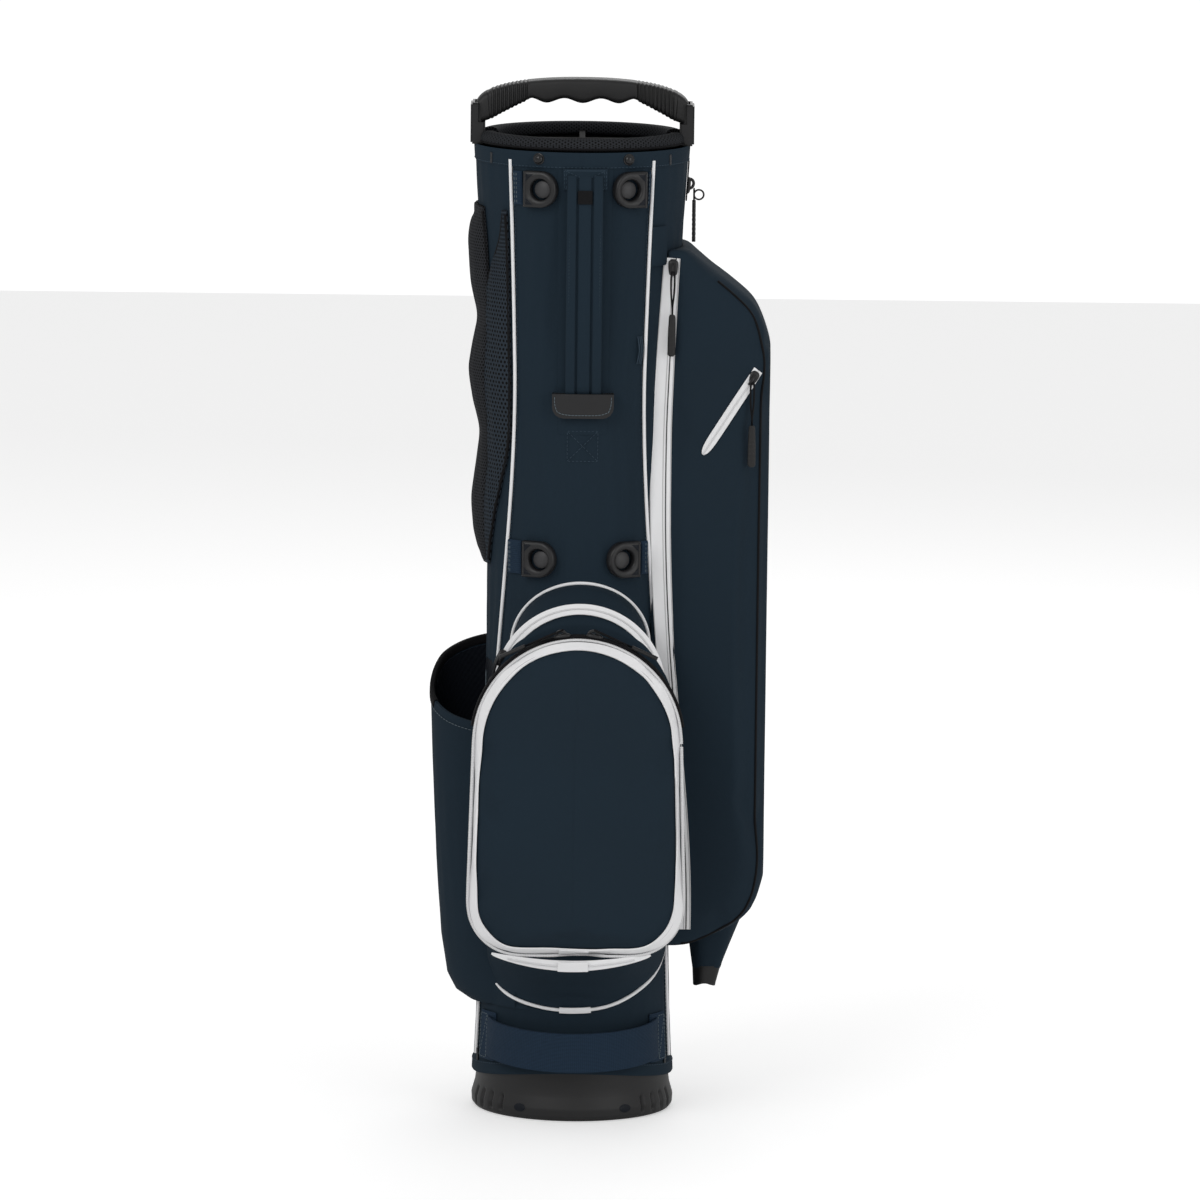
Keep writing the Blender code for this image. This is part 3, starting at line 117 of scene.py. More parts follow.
# ---- the trunk's surface -----------------------------------------------------------------------
def unit(vectors):
    vectors = np.asarray(vectors, float)
    return vectors / np.maximum(np.linalg.norm(vectors, axis=-1, keepdims=True), 1e-12)


def join(*parts):
    """Points from their coordinates, which may be arrays of different shapes or single numbers."""
    return np.stack(np.broadcast_arrays(*parts), -1)


def full_turn(count):
    return np.linspace(0.0, 2.0 * np.pi, count, endpoint=False)


def half_width(z):
    """The parabola through the side panel's widths."""
    return np.polyval(WIDTH_FIT, z)


def on_trunk(angle, z, lift=0.0):
    """The ellipse point at an angle and a height, moved outwards by lift."""
    angle, z, lift = np.broadcast_arrays(np.radians(angle), z, lift)
    half = half_width(z)
    return join((half + lift) * np.sin(angle), -(half * DEPTH_RATIO + lift) * np.cos(angle), z)


def trunk_out(angle):
    """The outward direction of the ellipse at an angle."""
    turn = np.radians(angle)
    return unit(join(DEPTH_RATIO * np.sin(turn), -np.cos(turn), 0.0))


def angle_at(x, z):
    """The angle of the front point of the trunk that has a given x."""
    return np.degrees(np.arcsin(np.clip(x / half_width(z), -1.0, 1.0)))


def hem_height(angle):
    """The bottom hem is a cosine square higher at the front and the back than at the sides."""
    return HEM_Z + HEM_RISE * np.cos(np.radians(angle)) ** 2


def seam_angle(z):
    """The front seams drift to the sides below the middle: a smooth step between two angles."""
    share = np.clip((0.66 - np.asarray(z, float)) / 0.50, 0.0, 1.0)
    return 41.5 + 33.5 * share * share * (3.0 - 2.0 * share)


def hug_trunk(points, lift=FIT):
    """Pushes the points that lie inside the trunk's ellipse radially out onto it."""
    half = half_width(points[..., 2])
    share = np.hypot(points[..., 0] / (half + lift), points[..., 1] / (half * DEPTH_RATIO + lift))
    share = np.clip(share, 1e-3, 1.0)[..., None]
    return np.concatenate([points[..., :2] / share, points[..., 2:]], -1)


# ---- meshes ------------------------------------------------------------------------------------
class Skin:
    """Closed surfaces given as grids of points, gathered into one mesh whose faces point outwards."""

    def __init__(self):
        self.points = []
        self.faces = []
        self.coords = []
        self.count = 0

    def add(self, points, faces, coords):
        """Takes one closed surface. Its signed volume says whether its faces need turning round."""
        for_volume = [(f, c) for f, c in zip(faces, coords) if len(f)]
        volume = 0.0
        for face, _ in for_volume:
            a, b, c = (points[face[:, k]] for k in (0, 1, 2))
            volume += np.einsum("ij,ij->", a, np.cross(b, c))
            if face.shape[1] == 4:
                volume += np.einsum("ij,ij->", a, np.cross(c, points[face[:, 3]]))
        for face, coord in for_volume:
            turn = slice(None, None, -1) if volume < 0 else slice(None)
            self.faces.append(face[:, turn] + self.count)
            self.coords.append(coord[:, turn])
        self.points.append(points)
        self.count += len(points)

    def grid(self, points, coords, wrap_rows=False):
        """A surface over rows of closed rings: capped with fans at both ends, or wrapped into a loop."""
        rows, ring = points.shape[:2]
        numbers = np.arange(rows * ring).reshape(rows, ring)
        here = np.arange(rows if wrap_rows else rows - 1)
        there = (here + 1) % rows
        side = np.arange(ring)
        after = (side + 1) % ring
        quads = join(numbers[here][:, side], numbers[there][:, side], numbers[there][:, after],
                          numbers[here][:, after])
        wide = coords[:, :, None, :]
        uv = np.stack([wide[:-1, :-1, 0], wide[1:, :-1, 0], wide[1:, 1:, 0], wide[:-1, 1:, 0]], 2)
        flat = points.reshape(-1, 3)
        faces = [quads.reshape(-1, 4)]
        maps = [uv.reshape(-1, 4, 2)]
        if not wrap_rows:
            for row, flip in ((0, 1), (rows - 1, -1)):
                flat = np.vstack([flat, points[row].mean(0)])
                fan = join(np.full(ring, len(flat) - 1), numbers[row], numbers[row][after])
                faces.append(fan[:, ::flip])
                spread = np.stack([coords[row, :-1], coords[row, :-1], coords[row, 1:]], 1)
                maps.append(spread[:, ::flip])
        self.add(flat, faces, maps)

    def tube(self, rings):
        self.grid(rings, coords_round(rings))

    def copies(self, template, origins, axes):
        """The same small capped grid at many places. axes holds three directions for each origin."""
        rows, ring = template.shape[:2]
        spread = np.einsum("rsk,nkx->nrsx", template, axes) + origins[:, None, None, :]
        ends = spread[:, [0, -1]].mean(2)
        points = np.concatenate([spread.reshape(len(origins), -1, 3), ends], 1)
        numbers = np.arange(rows * ring).reshape(rows, ring)
        after = np.roll(numbers, -1, 1)
        quads = join(numbers[:-1], numbers[1:], after[1:], after[:-1]).reshape(-1, 4)
        size = rows * ring + 2
        low = join(np.full(ring, size - 2), numbers[0], after[0])
        high = join(np.full(ring, size - 1), after[-1], numbers[-1])
        step = (np.arange(len(origins)) * size)[:, None, None]
        faces = [(quads[None] + step).reshape(-1, 4), (np.vstack([low, high])[None] + step).reshape(-1, 3)]
        flat = points.reshape(-1, 3)
        self.add(flat, faces, [join(flat[f][..., 0], flat[f][..., 2]) for f in faces])

    def mesh(self, name):
        points = np.concatenate(self.points)
        mesh = bpy.data.meshes.new(name)
        sizes = np.concatenate([np.full(len(f), f.shape[1]) for f in self.faces])
        loops = np.concatenate([f.reshape(-1) for f in self.faces])
        mesh.vertices.add(len(points))
        mesh.vertices.foreach_set("co", points.astype(np.float32).reshape(-1))
        mesh.loops.add(len(loops))
        mesh.loops.foreach_set("vertex_index", loops.astype(np.int32))
        mesh.polygons.add(len(sizes))
        mesh.polygons.foreach_set("loop_start", np.concatenate([[0], np.cumsum(sizes)[:-1]]).astype(np.int32))
        layer = mesh.uv_layers.new(name="UVMap")
        mesh.update(calc_edges=True)
        coords = np.concatenate([c.reshape(-1, 2) for c in self.coords])
        layer.data.foreach_set("uv", coords.astype(np.float32).reshape(-1))
        mesh.validate()
        mesh.shade_smooth()
        mesh.set_sharp_from_angle(angle=math.radians(50.0))
        return mesh


def link(name, mesh, material, body, slot, *replaced):
    """Makes the piece's object at the origin, gives it its finish and lets it ride on a body."""
    obj = bpy.data.objects.new(name, mesh)
    bpy.context.scene.collection.objects.link(obj)
    mesh.materials.append(material)
    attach(obj, body)
    if replaced:
        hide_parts(*replaced)
    return obj


def lengths(points):
    """Distance along a path from its first point."""
    steps = np.linalg.norm(np.diff(points, axis=0), axis=-1)
    return np.concatenate([[0.0], np.cumsum(steps)])


def curve(points, count):
    """A Catmull-Rom curve through a few points, spread evenly along its length."""
    points = np.asarray(points, float)
    padded = np.vstack([2 * points[0] - points[1], points, 2 * points[-1] - points[-2]])
    turns = np.linspace(0.0, len(points) - 1.0, 12 * len(points))
    first = np.minimum(turns.astype(int), len(points) - 2)
    t = (turns - first)[:, None]
    a, b, c, d = (padded[first + k] for k in range(4))
    smooth = 0.5 * (2 * b + (c - a) * t + (2 * a - 5 * b + 4 * c - d) * t**2 + (3 * b - a - 3 * c + d) * t**3)
    return spread(smooth, count)


def spread(points, count):
    """The same path with its points at even distances."""
    along = lengths(points)
    at = np.linspace(0.0, along[-1], count)
    return np.stack([np.interp(at, along, points[:, k]) for k in range(points.shape[1])], -1)


def rounded(turn, power):
    """A superellipse's cosine: 1 gives a circle and less a squarer shape."""
    wave = np.cos(turn)
    return np.sign(wave) * np.abs(wave) ** power


def flat_section(width, thickness, power=0.35, count=20):
    """A strap's section: a superellipse that stands on its path, as (across, outward) points."""
    turn = full_turn(count)
    return join(width / 2 * rounded(turn, power), thickness / 2 * (1 + rounded(turn - np.pi / 2, power)))


def round_section(radius, count=10, lift=0.0):
    turn = full_turn(count)
    return join(radius * np.cos(turn), lift + radius * np.sin(turn))


def sweep(skin, path, out, section, loop=False):
    """Carries a closed section along a path: point = path + across * a + outward * h.
    The section is one set of points, or one set for each point of the path."""
    path = np.asarray(path, float)
    ahead = unit(np.roll(path, -1, 0) - np.roll(path, 1, 0)) if loop else unit(np.gradient(path, axis=0))
    out = np.broadcast_to(out, path.shape)
    out = unit(out - ahead * np.einsum("ij,ij->i", out, ahead)[:, None])
    across = np.cross(ahead, out)
    section = np.broadcast_to(section, (len(path),) + np.shape(section)[-2:])
    points = path[:, None] + across[:, None] * section[..., :1] + out[:, None] * section[..., 1:]
    along = lengths(np.vstack([path, path[:1]]) if loop else path)
    girth = lengths(np.vstack([section[0], section[0][:1]]))
    coords = np.stack(np.meshgrid(along, girth, indexing="ij")[::-1], -1)
    skin.grid(points, coords, loop)


def lathe(skin, profile, centre, axis, side, count=20):
    """Turns a profile of (radius, height) points round an axis, with both ends closed by fans."""
    turn = full_turn(count)
    other = np.cross(axis, side)
    ring = np.cos(turn)[:, None] * side + np.sin(turn)[:, None] * other
    profile = np.asarray(profile, float)
    points = centre + profile[:, None, :1] * ring[None] + profile[:, None, 1:] * np.asarray(axis)
    around = np.linspace(0.0, 2.0 * np.pi * profile[:, 0].max(), count + 1)
    coords = np.stack(np.meshgrid(lengths(profile), around, indexing="ij")[::-1], -1)
    skin.grid(points, coords)


def coords_round(points):
    """UV in metres for rings of points: distance round the first ring's middle, and distance across."""
    ring = np.concatenate([points, points[:, :1]], 1)
    around = lengths(ring[len(ring) // 2])
    across = lengths(points.mean(1))
    reach = lengths(points[:, 0])
    return np.stack(np.meshgrid(np.maximum(reach, across), around, indexing="ij")[::-1], -1)


STITCH_TURNS = full_turn(5)


def stitches(skin, path, out, pitch=0.0034, length=0.0024, radius=0.00035):
    """A row of thread stitches: short five-sided capsules laid end to end along a path."""
    path = np.asarray(path, float)
    along = lengths(path)
    count = max(2, int(along[-1] / pitch))
    at = (np.arange(count) + 0.5) * along[-1] / count
    place = np.stack([np.interp(at, along, path[:, k]) for k in range(3)], -1)
    grads = np.gradient(path, axis=0)
    ahead = unit(np.stack([np.interp(at, along, grads[:, k]) for k in range(3)], -1))
    out = np.broadcast_to(out, path.shape)
    normal = unit(np.stack([np.interp(at, along, out[:, k]) for k in range(3)], -1))
    across = unit(np.cross(ahead, normal))
    rings = []
    for share, size in ((-0.5, 0.55), (-0.3, 1.0), (0.3, 1.0), (0.5, 0.55)):
        turns = STITCH_TURNS
        rings.append(join(np.full(5, share * length), size * radius * np.cos(turns),
                               size * radius * np.sin(turns)))
    skin.copies(np.array(rings), place + normal * radius * 0.4, np.stack([ahead, across, normal], 1))


def ripple(a, b, size):
    """A calm unevenness of fabric: a few sine waves of two places, from -size to size."""
    waves = np.sin(37.0 * a + 1.3 + 2.0 * np.sin(11.0 * b)) + np.sin(23.0 * b + 0.7 + 1.5 * np.sin(17.0 * a))
    fine = np.sin(83.0 * a + 61.0 * b + 2.1) * 0.35
    return size * (waves + fine) / 2.35


# ---- padded cloth ------------------------------------------------------------------------------
def read_points(mesh):
    flat = np.zeros(3 * len(mesh.vertices), np.float32)
    mesh.vertices.foreach_get("co", flat)
    return flat.reshape(-1, 3).astype(float)


def map_fabric(mesh, front_y):
    """UV in metres that follows fabric from the front round both sides: x out to the corner, then depth."""
    points = read_points(mesh)
    across = points[:, 0] + np.sign(points[:, 0]) * (points[:, 1] - front_y)
    corners = np.zeros(len(mesh.loops), np.int32)
    mesh.loops.foreach_get("vertex_index", corners)
    layer = mesh.uv_layers.get("UVMap") or mesh.uv_layers.new(name="UVMap")
    layer.data.foreach_set("uv", join(across, points[:, 2])[corners].astype(np.float32).reshape(-1))


def puff(skin, name, settings, cap, hold, voxel=0.005, pressure=4.0):
    """Blows a closed shape up as cloth and caps how far each point moves.
    hold gives each point's share of that cap, so that sewn edges stay where their seams are."""
    obj = bpy.data.objects.new(name, skin.mesh(name))
    bpy.context.scene.collection.objects.link(obj)
    bpy.context.view_layer.objects.active = obj
    remesh = obj.modifiers.new("even", "REMESH")
    remesh.mode = "VOXEL"
    remesh.voxel_size = voxel
    bpy.ops.object.modifier_apply(modifier=remesh.name)
    start = read_points(obj.data)
    moved = start.copy()
    cloth = obj.modifiers.new("cloth", "CLOTH")
    cloth.settings.use_pressure = True
    cloth.settings.uniform_pressure_force = pressure
    cloth.settings.effector_weights.gravity = 0.0
    cloth.settings.quality = 4
    cloth.point_cache.frame_end = settings.cloth_frames
    for frame in range(1, settings.cloth_frames + 1):
        bpy.context.scene.frame_set(frame)
    bpy.ops.object.modifier_apply(modifier=cloth.name)
    moved = read_points(obj.data)
    bpy.context.scene.frame_set(1)
    shift = moved - start
    size = np.linalg.norm(shift, axis=-1, keepdims=True)
    shift *= np.minimum(1.0, cap / np.maximum(size, 1e-9)) * hold(start)[:, None]
    return obj, start + shift


def close_puff(obj, points, front_y):
    """Writes the moved points back, smooths the shape once and maps it."""
    obj.data.vertices.foreach_set("co", points.astype(np.float32).reshape(-1))
    smooth = obj.modifiers.new("smooth", "SUBSURF")
    smooth.levels = 1
    smooth.render_levels = 1
    bpy.context.view_layer.objects.active = obj
    bpy.ops.object.modifier_apply(modifier=smooth.name)
    mesh, name = obj.data, obj.name
    bpy.data.objects.remove(obj)
    mesh.name = name
    map_fabric(mesh, front_y)
    mesh.shade_smooth()
    return mesh


# ---- finishes ----------------------------------------------------------------------------------
def node_group(name, inputs, outputs):
    tree = bpy.data.node_groups.new(name, "ShaderNodeTree")
    for label, kind, default in inputs:
        tree.interface.new_socket(label, in_out="INPUT", socket_type=kind).default_value = default
    for label, kind in outputs:
        tree.interface.new_socket(label, in_out="OUTPUT", socket_type=kind)
    return tree, tree.nodes.new("NodeGroupInput").outputs, tree.nodes.new("NodeGroupOutput").inputs


def calc(tree, operation, *values):
    """A math node. Each value is a number or a socket."""
    node = tree.nodes.new("ShaderNodeMath")
    node.operation = operation
    for place, value in enumerate(values):
        if isinstance(value, (int, float)):
            node.inputs[place].default_value = value
        else:
            tree.links.new(value, node.inputs[place])
    return node.outputs[0]


def surface_uv(tree):
    coords = tree.nodes.new("ShaderNodeTexCoord")
    parts = tree.nodes.new("ShaderNodeSeparateXYZ")
    tree.links.new(coords.outputs["UV"], parts.inputs[0])
    return parts.outputs["X"], parts.outputs["Y"]


def wave(tree, place, pitch, kind="SINE"):
    return calc(tree, kind, calc(tree, "DIVIDE", calc(tree, "MULTIPLY", place, 2.0 * math.pi), pitch))


def weave_group():
    """Plain weave: the product of two sine waves, as a height from 0 to 1."""
    tree, given, made = node_group("Weave", [("Pitch", "NodeSocketFloat", 0.0012)],
                                   [("Height", "NodeSocketFloat")])
    u, v = surface_uv(tree)
    both = calc(tree, "MULTIPLY", wave(tree, u, given["Pitch"]), wave(tree, v, given["Pitch"]))
    tree.links.new(calc(tree, "MULTIPLY_ADD", both, 0.5, 0.5), made["Height"])
    return tree


def webbing_group():
    """Webbing: rounded ribs across the strap, each parted into threads by a finer wave along it."""
    tree, given, made = node_group(
        "Webbing", [("Pitch", "NodeSocketFloat", 0.0022)], [("Height", "NodeSocketFloat")]
    )
    u, v = surface_uv(tree)
    ribs = calc(tree, "ABSOLUTE", wave(tree, u, given["Pitch"]))
    threads = wave(tree, v, calc(tree, "MULTIPLY", given["Pitch"], 0.7))
    tree.links.new(calc(tree, "MULTIPLY_ADD", threads, 0.22, ribs), made["Height"])
    return tree


def holes_group():
    """Spacer mesh: three cosine waves 60 degrees apart peak together on a hexagonal lattice of holes."""
    tree, given, made = node_group(
        "Mesh Holes", [("Pitch", "NodeSocketFloat", 0.0040)], [("Hole", "NodeSocketFloat")]
    )
    u, v = surface_uv(tree)
    total = None
    for degrees in (90.0, 30.0, 150.0):
        turn = math.radians(degrees)
        along = calc(
            tree, "MULTIPLY_ADD", u, math.cos(turn) / 0.866, calc(tree, "MULTIPLY", v, math.sin(turn) / 0.866)
        )
        one = wave(tree, along, given["Pitch"], "COSINE")
        total = one if total is None else calc(tree, "ADD", total, one)
    ramp = tree.nodes.new("ShaderNodeMapRange")
    ramp.interpolation_type = "SMOOTHSTEP"
    ramp.inputs["From Min"].default_value = 0.1
    ramp.inputs["From Max"].default_value = 1.1
    tree.links.new(total, ramp.inputs["Value"])
    tree.links.new(ramp.outputs["Result"], made["Hole"])
    return tree


def wear_group():
    """Calm cloudiness for colour and roughness, from 0 to 1, with a fine grain beside it."""
    tree, given, made = node_group(
        "Wear",
        [("Scale", "NodeSocketFloat", 7.0)],
        [("Cloud", "NodeSocketFloat"), ("Grain", "NodeSocketFloat")],
    )
    coords = tree.nodes.new("ShaderNodeTexCoord")
    for label, factor, detail in (("Cloud", 1.0, 3.0), ("Grain", 160.0, 2.0)):
        noise = tree.nodes.new("ShaderNodeTexNoise")
        noise.inputs["Detail"].default_value = detail
        tree.links.new(coords.outputs["Object"], noise.inputs["Vector"])
        tree.links.new(calc(tree, "MULTIPLY", given["Scale"], factor), noise.inputs["Scale"])
        tree.links.new(noise.outputs["Fac"], made[label])
    return tree


class Finishes:
    """The materials, each made on first use from its colour and from the shared groups."""

    def __init__(self, settings):
        self.settings = settings
        self.groups = {"weave": weave_group(), "webbing": webbing_group(), "holes": holes_group(),
                       "wear": wear_group()}
        self.made = {}

    def get(self, name):
        if name not in self.made:
            self.made[name] = self.make(name)
        return self.made[name]

    def make(self, name):
        s = self.settings
        navy, webbing, white = tuple(s.navy), tuple(s.webbing), tuple(s.white)
        # colour, roughness, metallic, pattern, its pitch, bump in metres, and the colour mixed in where the
        # pattern is high: painted shade in the mesh holes, lighter rib crests on the webbing
        table = {
            "navy_fabric": (navy, 0.86, 0.0, "weave", 0.0011, 0.00010, None),
            "navy_webbing": (webbing, 0.80, 0.0, "webbing", 0.0024, 0.00050, tuple(1.9 * c for c in webbing)),
            # The mesh rows paint a near black shade into their holes.
            "coarse_mesh": ((0.024, 0.033, 0.044), 0.85, 0.0, "holes", 0.0042, 0.0008,
                            (0.0015, 0.0015, 0.002)),
            "fine_mesh": ((0.024, 0.026, 0.030), 0.85, 0.0, "holes", 0.0030, 0.0006, (0.002, 0.002, 0.002)),
            "black_plastic": ((0.011, 0.011, 0.012), 0.36, 0.0, None, 0.0, 0.0, None),
            "black_rubber": ((0.010, 0.010, 0.0105), 0.50, 0.0, None, 0.0, 0.0, None),
            "gloss_black": ((0.008, 0.008, 0.009), 0.12, 0.0, None, 0.0, 0.0, None),
            "base_plastic": ((0.012, 0.012, 0.0125), 0.48, 0.0, None, 0.0, 0.0, None),
            "grey_plastic": ((0.040, 0.040, 0.042), 0.45, 0.0, None, 0.0, 0.0, None),
            "black_leather": ((0.011, 0.011, 0.012), 0.50, 0.0, None, 0.0, 0.0, None),
            "black_binding": ((0.006, 0.006, 0.007), 0.75, 0.0, "webbing", 0.0016, 0.0002, None),
            # A dark lining, and also the painted shade of the base's recesses and of the strap rings'
            # notches.
            "dark_lining_and_shade": ((0.008, 0.010, 0.014), 0.40, 0.0, "weave", 0.0060, 0.0004, None),
            "white_tape": (white, 0.60, 0.0, "weave", 0.0009, 0.00012, None),
            # Grey lines painted as the shade of folds in the white tapes.
            "fold_shade_grey": (tuple(0.62 * c for c in white), 0.60, 0.0, None, 0.0, 0.0, None),
            "white_coil": (tuple(0.80 * c for c in white), 0.45, 0.0, None, 0.0, 0.0, None),
            "navy_thread": (tuple(1.9 * c for c in navy), 0.80, 0.0, None, 0.0, 0.0, None),
            "grey_thread": ((0.10, 0.13, 0.15), 0.80, 0.0, None, 0.0, 0.0, None),
            "dark_tube": ((0.060, 0.062, 0.066), 0.35, 1.0, None, 0.0, 0.0, None),
            "steel": ((0.45, 0.45, 0.46), 0.30, 1.0, None, 0.0, 0.0, None),
        }
        colour, roughness, metallic, pattern, pitch, bump, low = table[name]
        material = bpy.data.materials.new(name)
        material.use_nodes = True
        tree = material.node_tree
        shader = tree.nodes["Principled BSDF"]
        shader.inputs["Metallic"].default_value = metallic
        shader.inputs["Specular IOR Level"].default_value = 0.15 if pattern else 0.4
        wear = tree.nodes.new("ShaderNodeGroup")
        wear.node_tree = self.groups["wear"]
        wear.inputs["Scale"].default_value = 7.0
        shade = calc(tree, "MULTIPLY_ADD", wear.outputs["Cloud"], 0.30, 0.85)
        tint = tree.nodes.new("ShaderNodeMix")
        tint.data_type = "RGBA"
        tint.blend_type = "MULTIPLY"
        tint.inputs["Factor"].default_value = 1.0
        rgba = {socket.identifier: socket for socket in tint.inputs}
        rgba["A_Color"].default_value = (*colour, 1.0)
        tree.links.new(shade, rgba["B_Color"])
        result = {socket.identifier: socket for socket in tint.outputs}["Result_Color"]
        rough = calc(tree, "MULTIPLY_ADD", wear.outputs["Cloud"], 0.16, roughness - 0.08)
        height = None
        if pattern:
            weave = tree.nodes.new("ShaderNodeGroup")
            weave.node_tree = self.groups[pattern]
            weave.inputs["Pitch"].default_value = pitch
            height = weave.outputs[0]
            # Mixes the table's last colour in by the pattern's height: painted shade in the mesh holes,
            # lighter rib crests on the webbing.
            if low:
                holes = tree.nodes.new("ShaderNodeMix")
                holes.data_type = "RGBA"
                sockets = {socket.identifier: socket for socket in holes.inputs}
                tree.links.new(height, sockets["Factor_Float"])
                tree.links.new(result, sockets["A_Color"])
                sockets["B_Color"].default_value = (*low, 1.0)
                result = {socket.identifier: socket for socket in holes.outputs}["Result_Color"]
                height = calc(tree, "SUBTRACT", 1.0, height) if pattern == "holes" else height
        relief = tree.nodes.new("ShaderNodeBump")
        relief.inputs["Distance"].default_value = bump or 0.00008
        relief.inputs["Strength"].default_value = 0.8
        tree.links.new(height if height else wear.outputs["Grain"], relief.inputs["Height"])
        tree.links.new(result, shader.inputs["Base Color"])
        tree.links.new(rough, shader.inputs["Roughness"])
        tree.links.new(relief.outputs["Normal"], shader.inputs["Normal"])
        return material


FINISH = {}


def finish(name):
    return FINISH["all"].get(name)


def piece(skin, name, look, slot, *replaced, body=BAG):
    return link(name, skin.mesh(name), finish(look), body, slot, *replaced)


# ---- parts of cloth that lie on the trunk ---------------------------------------------------------
def slab(rows_outer, rows_inner):
    """Rings for a slab: each row runs out along the outer side and back along the inner side."""
    return np.concatenate([rows_outer, rows_inner[:, ::-1]], 1)


def add_slab(skin, outer, inner):
    rings = slab(outer, inner)
    skin.tube(rings)


def trunk_patch(skin, start, end, low, high, thickness, lift=FIT, rows=24, columns=16, edge=0.0008):
    """A patch that follows the trunk: angle limits and height limits may be functions of the other."""
    share = np.linspace(0.0, 1.0, columns)
    across = np.linspace(0.0, 1.0, rows)
    first, last = (value if callable(value) else (lambda z, v=value: v + 0.0 * z) for value in (start, end))
    foot, head = (value if callable(value) else (lambda a, v=value: v + 0.0 * a) for value in (low, high))
    middle = 0.5 * (first(foot(0.0)) + last(foot(0.0)))
    heights = foot(middle) + across[:, None] * (head(middle) - foot(middle)) + 0.0 * share
    angles = first(heights) + share * (last(heights) - first(heights))
    heights = foot(angles) + across[:, None] * (head(angles) - foot(angles))
    angles = first(heights) + share * (last(heights) - first(heights))
    width = np.minimum(np.minimum(share, 1.0 - share)[None] * (columns - 1), 1.0)
    tall = np.minimum(np.minimum(across, 1.0 - across)[:, None] * (rows - 1), 1.0)
    rounded_edge = edge * (1.0 - np.minimum(width, tall))
    outer = on_trunk(angles, heights, lift + np.maximum(thickness - rounded_edge, 0.2 * thickness))
    inner = on_trunk(angles, heights, lift)
    add_slab(skin, outer, inner)


def trunk_stitches(skin, points, pitch=0.0034, lift=FIT):
    """A row of stitches along a path of (angle, height) on the trunk."""
    points = spread(np.asarray(points, float) * [0.0015, 1.0], 80) / [0.0015, 1.0]
    stitches(skin, on_trunk(points[:, 0], points[:, 1], lift), trunk_out(points[:, 0]), pitch)


def build_trunk(s):
    """Four sewn panels. A panel's outer side is the trunk moved by a small ripple, and it dips at its seams:
    lift = ripple(angle, height) - dip * exp(-(distance to the seam / reach)^2)."""
    spans = {
        "trunk_front": (lambda z: -seam_angle(z), seam_angle),
        "trunk_right": (seam_angle, lambda z: 180.0 - seam_angle(z)),
        "trunk_back": (lambda z: 180.0 - seam_angle(z), lambda z: 180.0 + seam_angle(z)),
        "trunk_left": (lambda z: 180.0 + seam_angle(z), lambda z: 360.0 - seam_angle(z)),
    }
    share = np.linspace(0.0, 1.0, 44)
    up = np.linspace(0.0, 1.0, 110)[:, None]
    for name, (start, end) in spans.items():
        heights = HEM_Z + up * (TOP_Z - HEM_Z) + 0.0 * share
        angles = start(heights) + share * (end(heights) - start(heights))
        heights = hem_height(angles) + up * (TOP_Z - hem_height(angles))
        gap = 0.25
        angles = start(heights) + gap + share * (end(heights) - start(heights) - 2.0 * gap)
        near = np.minimum(angles - start(heights), end(heights) - angles)
        dip = s.seam_dip * np.exp(-((near / 1.6) ** 2))
        wave_lift = ripple(angles / 60.0, heights * 2.0, s.ripple) * np.minimum(near / 6.0, 1.0)
        outer = on_trunk(angles, heights, wave_lift - dip)
        inner = on_trunk(angles, heights, -0.0019)
        skin = Skin()
        add_slab(skin, outer, inner)
        piece(skin, name + "_panel", "navy_fabric", "navy_fabric", name)
    hems = Skin()
    for start in (0.0, 120.0, 240.0):
        trunk_patch(hems, start, start + 120.0, s.top_hem_z, TOP_Z + 0.0006, 0.0010, lift=0.0002, rows=10,
                    columns=60)
        trunk_patch(hems, start, start + 120.0, lambda a: hem_height(a) - 0.0005,
                    lambda a: hem_height(a) + 0.0105,
                    0.0010, lift=0.0002, rows=10, columns=60)
    piece(hems, "trunk_hems", "navy_fabric", "navy_fabric")
    thread = Skin()
    round_trip = np.linspace(0.0, 360.0, 181)
    for height in (s.top_hem_z + 0.0018 + 0.0 * round_trip, hem_height(round_trip) + 0.0092):
        stitches(thread, on_trunk(round_trip, height, 0.0011), trunk_out(round_trip))
    piece(thread, "hem_stitches", "navy_thread", "navy_fabric")
    staples = Skin()
    for x in (-0.0765, 0.0745):
        for top in (True, False):
            z = np.array([TOP_Z - 0.0125, TOP_Z - 0.0035]) if top else np.array([0.0425, 0.0530])
            x_here = x if top else x * 1.065
            angle = angle_at(x_here, z)
            path = curve(on_trunk(angle, z, 0.0012), 7)
            sweep(staples, path, trunk_out(angle[0]), round_section(0.0012, 8))
    piece(staples, "hem_staples", "dark_tube", "black_plastic")


def build_piping(s):
    """Round piping along each front seam: its centre stands one radius outside the fabric."""
    for side, label in ((-1.0, "left"), (1.0, "right")):
        heights = np.linspace(0.0475, TOP_Z - 0.0075, 150)
        angles = side * seam_angle(heights)
        skin = Skin()
        sweep(skin, on_trunk(angles, heights, 0.0011), trunk_out(angles), round_section(s.piping_radius, 12))
        piece(skin, f"piping_{label}_cord", "white_tape", "white_tape", "piping_" + label)
        flanges = Skin()
        for shift in (-1.0, 1.0):
            rows = angles + shift * 1.9
            stitches(flanges, on_trunk(rows, heights, 0.0002), trunk_out(rows))
        piece(flanges, f"piping_{label}_stitches", "navy_thread", "navy_fabric")


